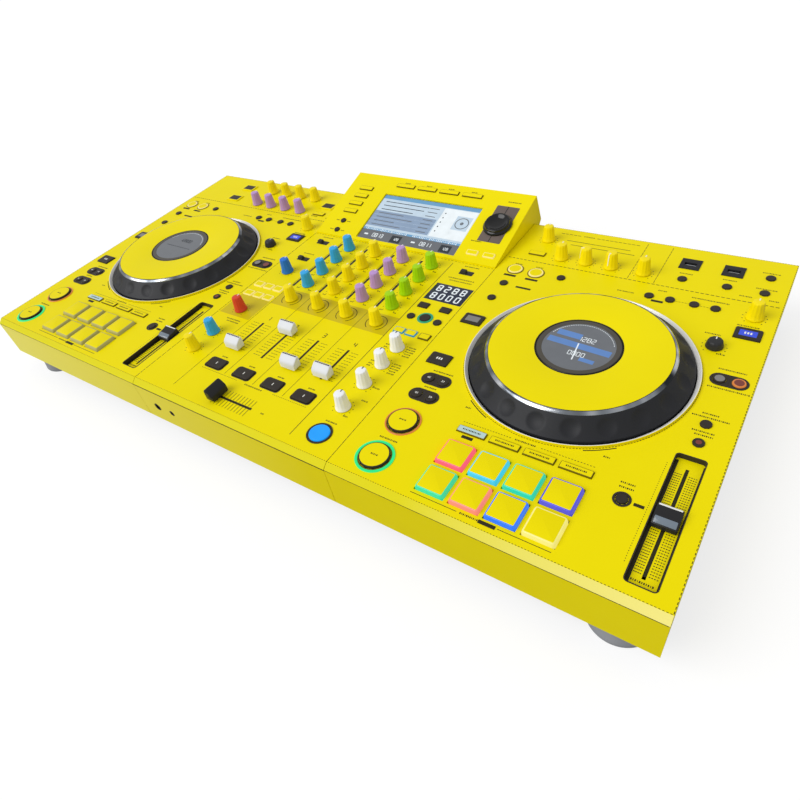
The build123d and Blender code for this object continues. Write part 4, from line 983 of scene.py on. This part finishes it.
def fader(name, x, y, turn, finish, body):
    """One fader cap with its line and blade."""
    shape = Shape()
    at = spot(x, y, panel + 2) @ Matrix.Rotation(turn, 4, "Z")
    profiled(shape, fader_profile, 10.75, [(1.2, 0), (0.4, 0.4), (0, 1.2)], at)
    for step in range(-3, 4):
        place = at @ spot(step * 2.8, 2.9, 12.75)
        shape.stack(rounded(2.2, 1.3, 0.2, 2), slab(0, 0.4, 1), place)
    shape.stack(rounded(1.6, 5, 0.3, 2), slab(-6, 1, 2), at)
    make(name + "_grip", shape, [finish, pointer_black, steel], body, [name])


for i, share in enumerate((-0.5, 0.5, -0.5, -0.43)):
    name, y = f"fader_cap_{i + 1}", fader_y + share * fader_travel
    fader(name, channels[i], y, 0, cap_white, f"fader_{i + 1}")
fader("crossfader_cap", -fader_travel / 2, cross_y, pi / 2, cap_black, "crossfader")

# Tempo sliders: a wide black cap that runs on a track below a shallow recess in the deck.
# The recess is lined with a black frame, and its floor is yellow with a scale of ticks on both sides.
# Painted highlight: the blue-grey face on each cap's front slope stands for the light that the slope
# catches.
slope_highlight_grey = moulded("slope_highlight_grey", (110, 122, 134), rough=0.18, mottle=0.05, coat=0.6)
tempo_profile = [(-9, 0), (9, 0), (9, 6.6), (8.4, 8.2), (7, 8.9), (5.4, 8.6), (3, 7.8), (0, 7.2), (-4, 6.7)]
tempo_profile += [(-7, 5.4), (-8.6, 3.8)]
frame_levels = one_finish([(-0.4, 0), (-0.4, 0.2), (0.5, 0.2), (0.5, -4.9), (0.05, -4.9)])
tempo_floor = panel - 5
liners = Shape()
floor_marks, floor_lines = [], []
for side in sides:
    x, y = deck_at(side, 0.4145, -0.337)
    well = y + 2.1
    liners.stack(rounded(23.5, 127.8, 3), frame_levels, spot(x, well), closed=False)
    floor_marks.append(((x, -152.75, tempo_floor), 2.6, 106, 0))
    floor_marks.append(((x - 9.9, well, tempo_floor), 2.7, 122, 0))
    floor_marks.append(((x + 10.8, well, tempo_floor), 0.9, 122, 0))
    floor_lines += label(x, -211, 16, tempo_floor)
    for step in range(-20, 21):
        for offset in (-7.6, -6.1, -4.6, -3.1, 3.2, 5, 6.8, 8.6):
            floor_lines.append(((x + offset, y + step * 2.45, tempo_floor), 1.1, 0.7, 0))
    slide = Shape()
    at = spot(x, y, panel - 3)
    profiled(slide, tempo_profile, 9.5, [(1, 0), (0.3, 0.3), (0, 1)], at)
    slide.stack(rounded(17, 1.4, 0.2, 2), slab(0, 0.3, 1), at @ spot(0, 6.9, 8.75))
    slope = at @ spot(0, -5.5, 6) @ Matrix.Rotation(radians(23), 4, "X")
    slide.stack(rounded(16.4, 5.6, 0.5, 3), slab(0, 0.35, 2), slope)
    finishes = [cap_black, pointer_white, slope_highlight_grey]
    make(side + "_tempo_grip", slide, finishes, side + "_tempo", [side + "_tempo_cap"])
make("tempo_frames", liners, [soft_black], "case")
printed("tempo_slots", floor_marks, ink)
printed("tempo_ticks", floor_lines, ink)

# Mixer buttons: effect caps, channel listen caps and six clear lit caps, all on rubber domes.
# The listen caps sit in flat black surrounds; the big round effect cap is lit blue in a dark ring.
keys, rims, listen_marks = Shape(), Shape(), []


def mixer_at(share_x, share_y):
    """A place in the effect column, as shares of the mixer's width and the panel's depth."""
    mixer_width = 281
    return spot(side_x + share_x * mixer_width, depth_at(share_y))


small_block = rounded(13, 9, 1)
for share in (-0.051, 0.051):
    cap(keys, small_block, BLACK, BLACK, 1, mixer_at(share, 0.035))
cap(keys, disc(6.4), BLACK, BLACK, 1.2, mixer_at(0, -0.011))
collar(rims, disc(9.2), 2.5, 0.8, TEAL, mixer_at(0, -0.011))
for share in (-0.0614, 0.0614):
    cap(keys, disc(4.8), BLACK, BLACK, 0.8, mixer_at(share, -0.017))
# The last of these yellow caps has painted shade on its sides and rim.
for share, rim in ((-0.0541, CYAN), (0, CYAN), (0.0612, SHADE_OLIVE)):
    cap(keys, small_block, rim, YELLOW, 0.9, mixer_at(share, -0.0775))
cap(keys, disc(10.4, 48), BLUE, BLUE, 1, mixer_at(0, -0.444))
collar(rims, disc(13, 48), 2.2, 0.8, BLACK, mixer_at(0, -0.444))
listen_y = depth_at(-0.370)
for x in channels:
    cap(keys, rounded(24, 14, 3.4), BLACK, BLACK, 1.5, spot(x, listen_y))
    listen_marks.append(((x + 1, listen_y, cap_print), 0.9, 3.4, 0))
    collar(rims, rounded(27, 17, 4), 1.2, 0.4, BLACK, spot(x, listen_y))
for column in (-1, 0, 1):
    for row in (-1, 1):
        at = spot(column * 16.4 - side_x, colour_y + row * 10)
        cap(keys, rounded(13.6, 10, 1.2), CREAM, YELLOW, 1.2, at)
printed("listen_marks", listen_marks, pointer_white, "mixer_button_bank")
make("mixer_keys", keys, key_finishes, "mixer_button_bank", ["mixer_buttons"])
make("mixer_rims", rims, key_finishes, "case")

# Display buttons and select knob: flat caps in shallow pockets of the housing's face, and a heavy glossy
# dial with a flared skirt, which turns on a coder and is pushed to choose.
keys, rims = Shape(), Shape()
shallow, key_x, select_x = 1.1, -109.6, 113.4
top_x = [screen_x + (column - 1.5) * 35.2 for column in range(4)]
# Painted shade on the sides and rims of the yellow display bars.
bars = [(x, 0.874, rounded(29, 6.7, 0.8), SHADE_OLIVE, YELLOW, 0.6) for x in top_x]
bars += [(key_x, share, rounded(22, 7, 0.8), SHADE_OLIVE, YELLOW, 0.6) for share in (0.387, 0.511, 0.635, 0.759)]
bars += [(key_x, share, disc(4), BLACK, BLACK, 0.7) for share in (0.083, 0.226)]
bars += [(select_x + away, 0.122, rounded(15, 7, 0.8), CREAM, YELLOW, 0.9) for away in (-11.35, 11.35)]
for x, share, outline, rim, top, inset in bars:
    cap(keys, outline, rim, top, inset, face @ spot(x, share * face_length, 0), root=shallow)
make("display_keys", keys, key_finishes, "display_button_bank", ["display_buttons"])
gloss_black = moulded("gloss_black", (15, 15, 16), rough=0.14, mottle=0.05, depth=0.01, shine=0.4)
strip_grey = moulded("strip_grey", (104, 92, 86), rough=0.4, mottle=0.06)
at = face @ spot(select_x, 0.543 * face_length, 0)
rims.stack(rounded(31, 62, 1.5), slab(0, 0.3, 0), at)
rims.stack(rounded(1, 62, 0.3), slab(0, 0.4, 1), at)
make("display_trim", rims, [strip_grey, pointer_black], "case")
face_labels = [(x, 113.2, 9) for x in top_x] + [(98, 34, 15), (118, 105.5, 18)]
face_labels += [(x, y, 6) for x in (-119, -100) for y in (10.2, 27.7)]
face_print = [row for place in face_labels for row in label(*place, 0)]
printed("display_print", face_print, ink, tilt=face)
dial = Shape()
levels = [(0, 1), (0, 1.8), (0.4, 2.6), (1.4, 3.5), (2.3, 4.2), (2.5, 5.2), (2.8, 6), (3.4, 6.4)]
levels += [(4.4, 6.5), (5.4, 6.2), (7, 5.2), (8.6, 4.2), (11, 3.4), (15, 3.1)]
dial.stack(disc(18.5, 72), one_finish(levels), face @ spot(select_x, 0.523 * face_length, 0))
make("select_dial", dial, [gloss_black], "select", ["select_knob"])

# Sockets: moulded black bodies with sprung contacts. The two stick sockets stand upright in the right deck;
# phones sockets are in the front skirt, and mains, computer, main and line sockets in the rear panel.
socket_black = moulded("socket_black", (30, 30, 32), rough=0.4, mottle=0.06)
for name in ("front_sockets", "usb_sockets", "rear_sockets"):
    dress(name, socket_black)
dress("rear_panel", powder_black)
tongues = Shape()
tongue_white = moulded("tongue_white", (214, 218, 222), rough=0.4, mottle=0.04)
for share_x in (0.1675, 0.3135):
    x, y = deck_at("right", share_x, 0.427)
    tongues.stack(rounded(11.2, 2, 0.2, 2), slab(-11, -1.5, 0, 0.4), spot(x, y + 0.9))
make("usb_tongues", tongues, [tongue_white], "case")

# Floor, lights and camera: a white floor in a bright room, under one broad soft light from the front left.
# The camera stands to the right of the front, where the photograph was taken from.
material, tree, place = start("floor_white")
drift = noise(place, 0.6, 1.0)
tone = mixed(drift, rgb(148, 148, 148), rgb(152, 152, 152))
sockets = {"Base Color": tone, "Roughness": 0.9, "Specular IOR Level": 0.0}
dim = tree.node("ShaderNodeBsdfPrincipled", {**sockets, "Base Color": rgb(150, 150, 150)})
glow = {"Emission Color": (1, 1, 1, 1), "Emission Strength": 0.72}
bright = tree.node("ShaderNodeBsdfPrincipled", {**sockets, **glow})
seen = tree.node("ShaderNodeLightPath", out="Is Camera Ray")
both = tree.node("ShaderNodeMixShader", {0: seen, 1: dim, 2: bright})
tree.node("ShaderNodeOutputMaterial", {"Surface": both})
ground = bpy.data.meshes.new("floor")
far, low_z = 12.0, cad_box[0].z
corners = [(x * far, y * far, low_z) for x, y in ((-1, -1), (1, -1), (1, 1), (-1, 1))]
ground.from_pydata(corners, [], [(0, 1, 2, 3)])
ground.materials.append(material)
floor = add("floor", ground)

world = bpy.data.worlds.new("studio")
scene.world = world
world.use_nodes = True
world.node_tree.nodes.clear()
sky = Sock(world.node_tree)
seen = sky.node("ShaderNodeLightPath", out="Is Camera Ray")
backdrop = sky.node("ShaderNodeBackground", {"Color": (1, 1, 1, 1), "Strength": 1.0})
room = sky.node("ShaderNodeBackground", {"Color": (1, 1, 1, 1), "Strength": 0.62})
both = sky.node("ShaderNodeMixShader", {0: seen, 1: room, 2: backdrop})
sky.node("ShaderNodeOutputWorld", {"Surface": both})

lamp = bpy.data.lights.new("overhead", "SUN")
lamp.energy, lamp.angle = 1.85, radians(45)
overhead = add("overhead", lamp)
overhead.rotation_euler = Vector((0.485, 0.539, -0.672)).to_track_quat("-Z", "Y").to_euler()

camera = add("camera", bpy.data.cameras.new("camera"))
right = Vector((0.825476, 0.542472, -0.155929))
down = Vector((0.288106, -0.642509, -0.710054))
ahead = Vector((-0.485370, 0.541209, -0.686665))
stand = Matrix.Translation((0.44313, -0.44608, 0.48368))
camera.matrix_world = stand @ Matrix((right, -down, -ahead)).transposed().to_4x4()
camera.data.lens = 27.136
camera.data.shift_x, camera.data.shift_y = -0.00368, -0.0008
camera.data.clip_start = 0.01
scene.camera = camera
scene.view_settings.view_transform = "Standard"
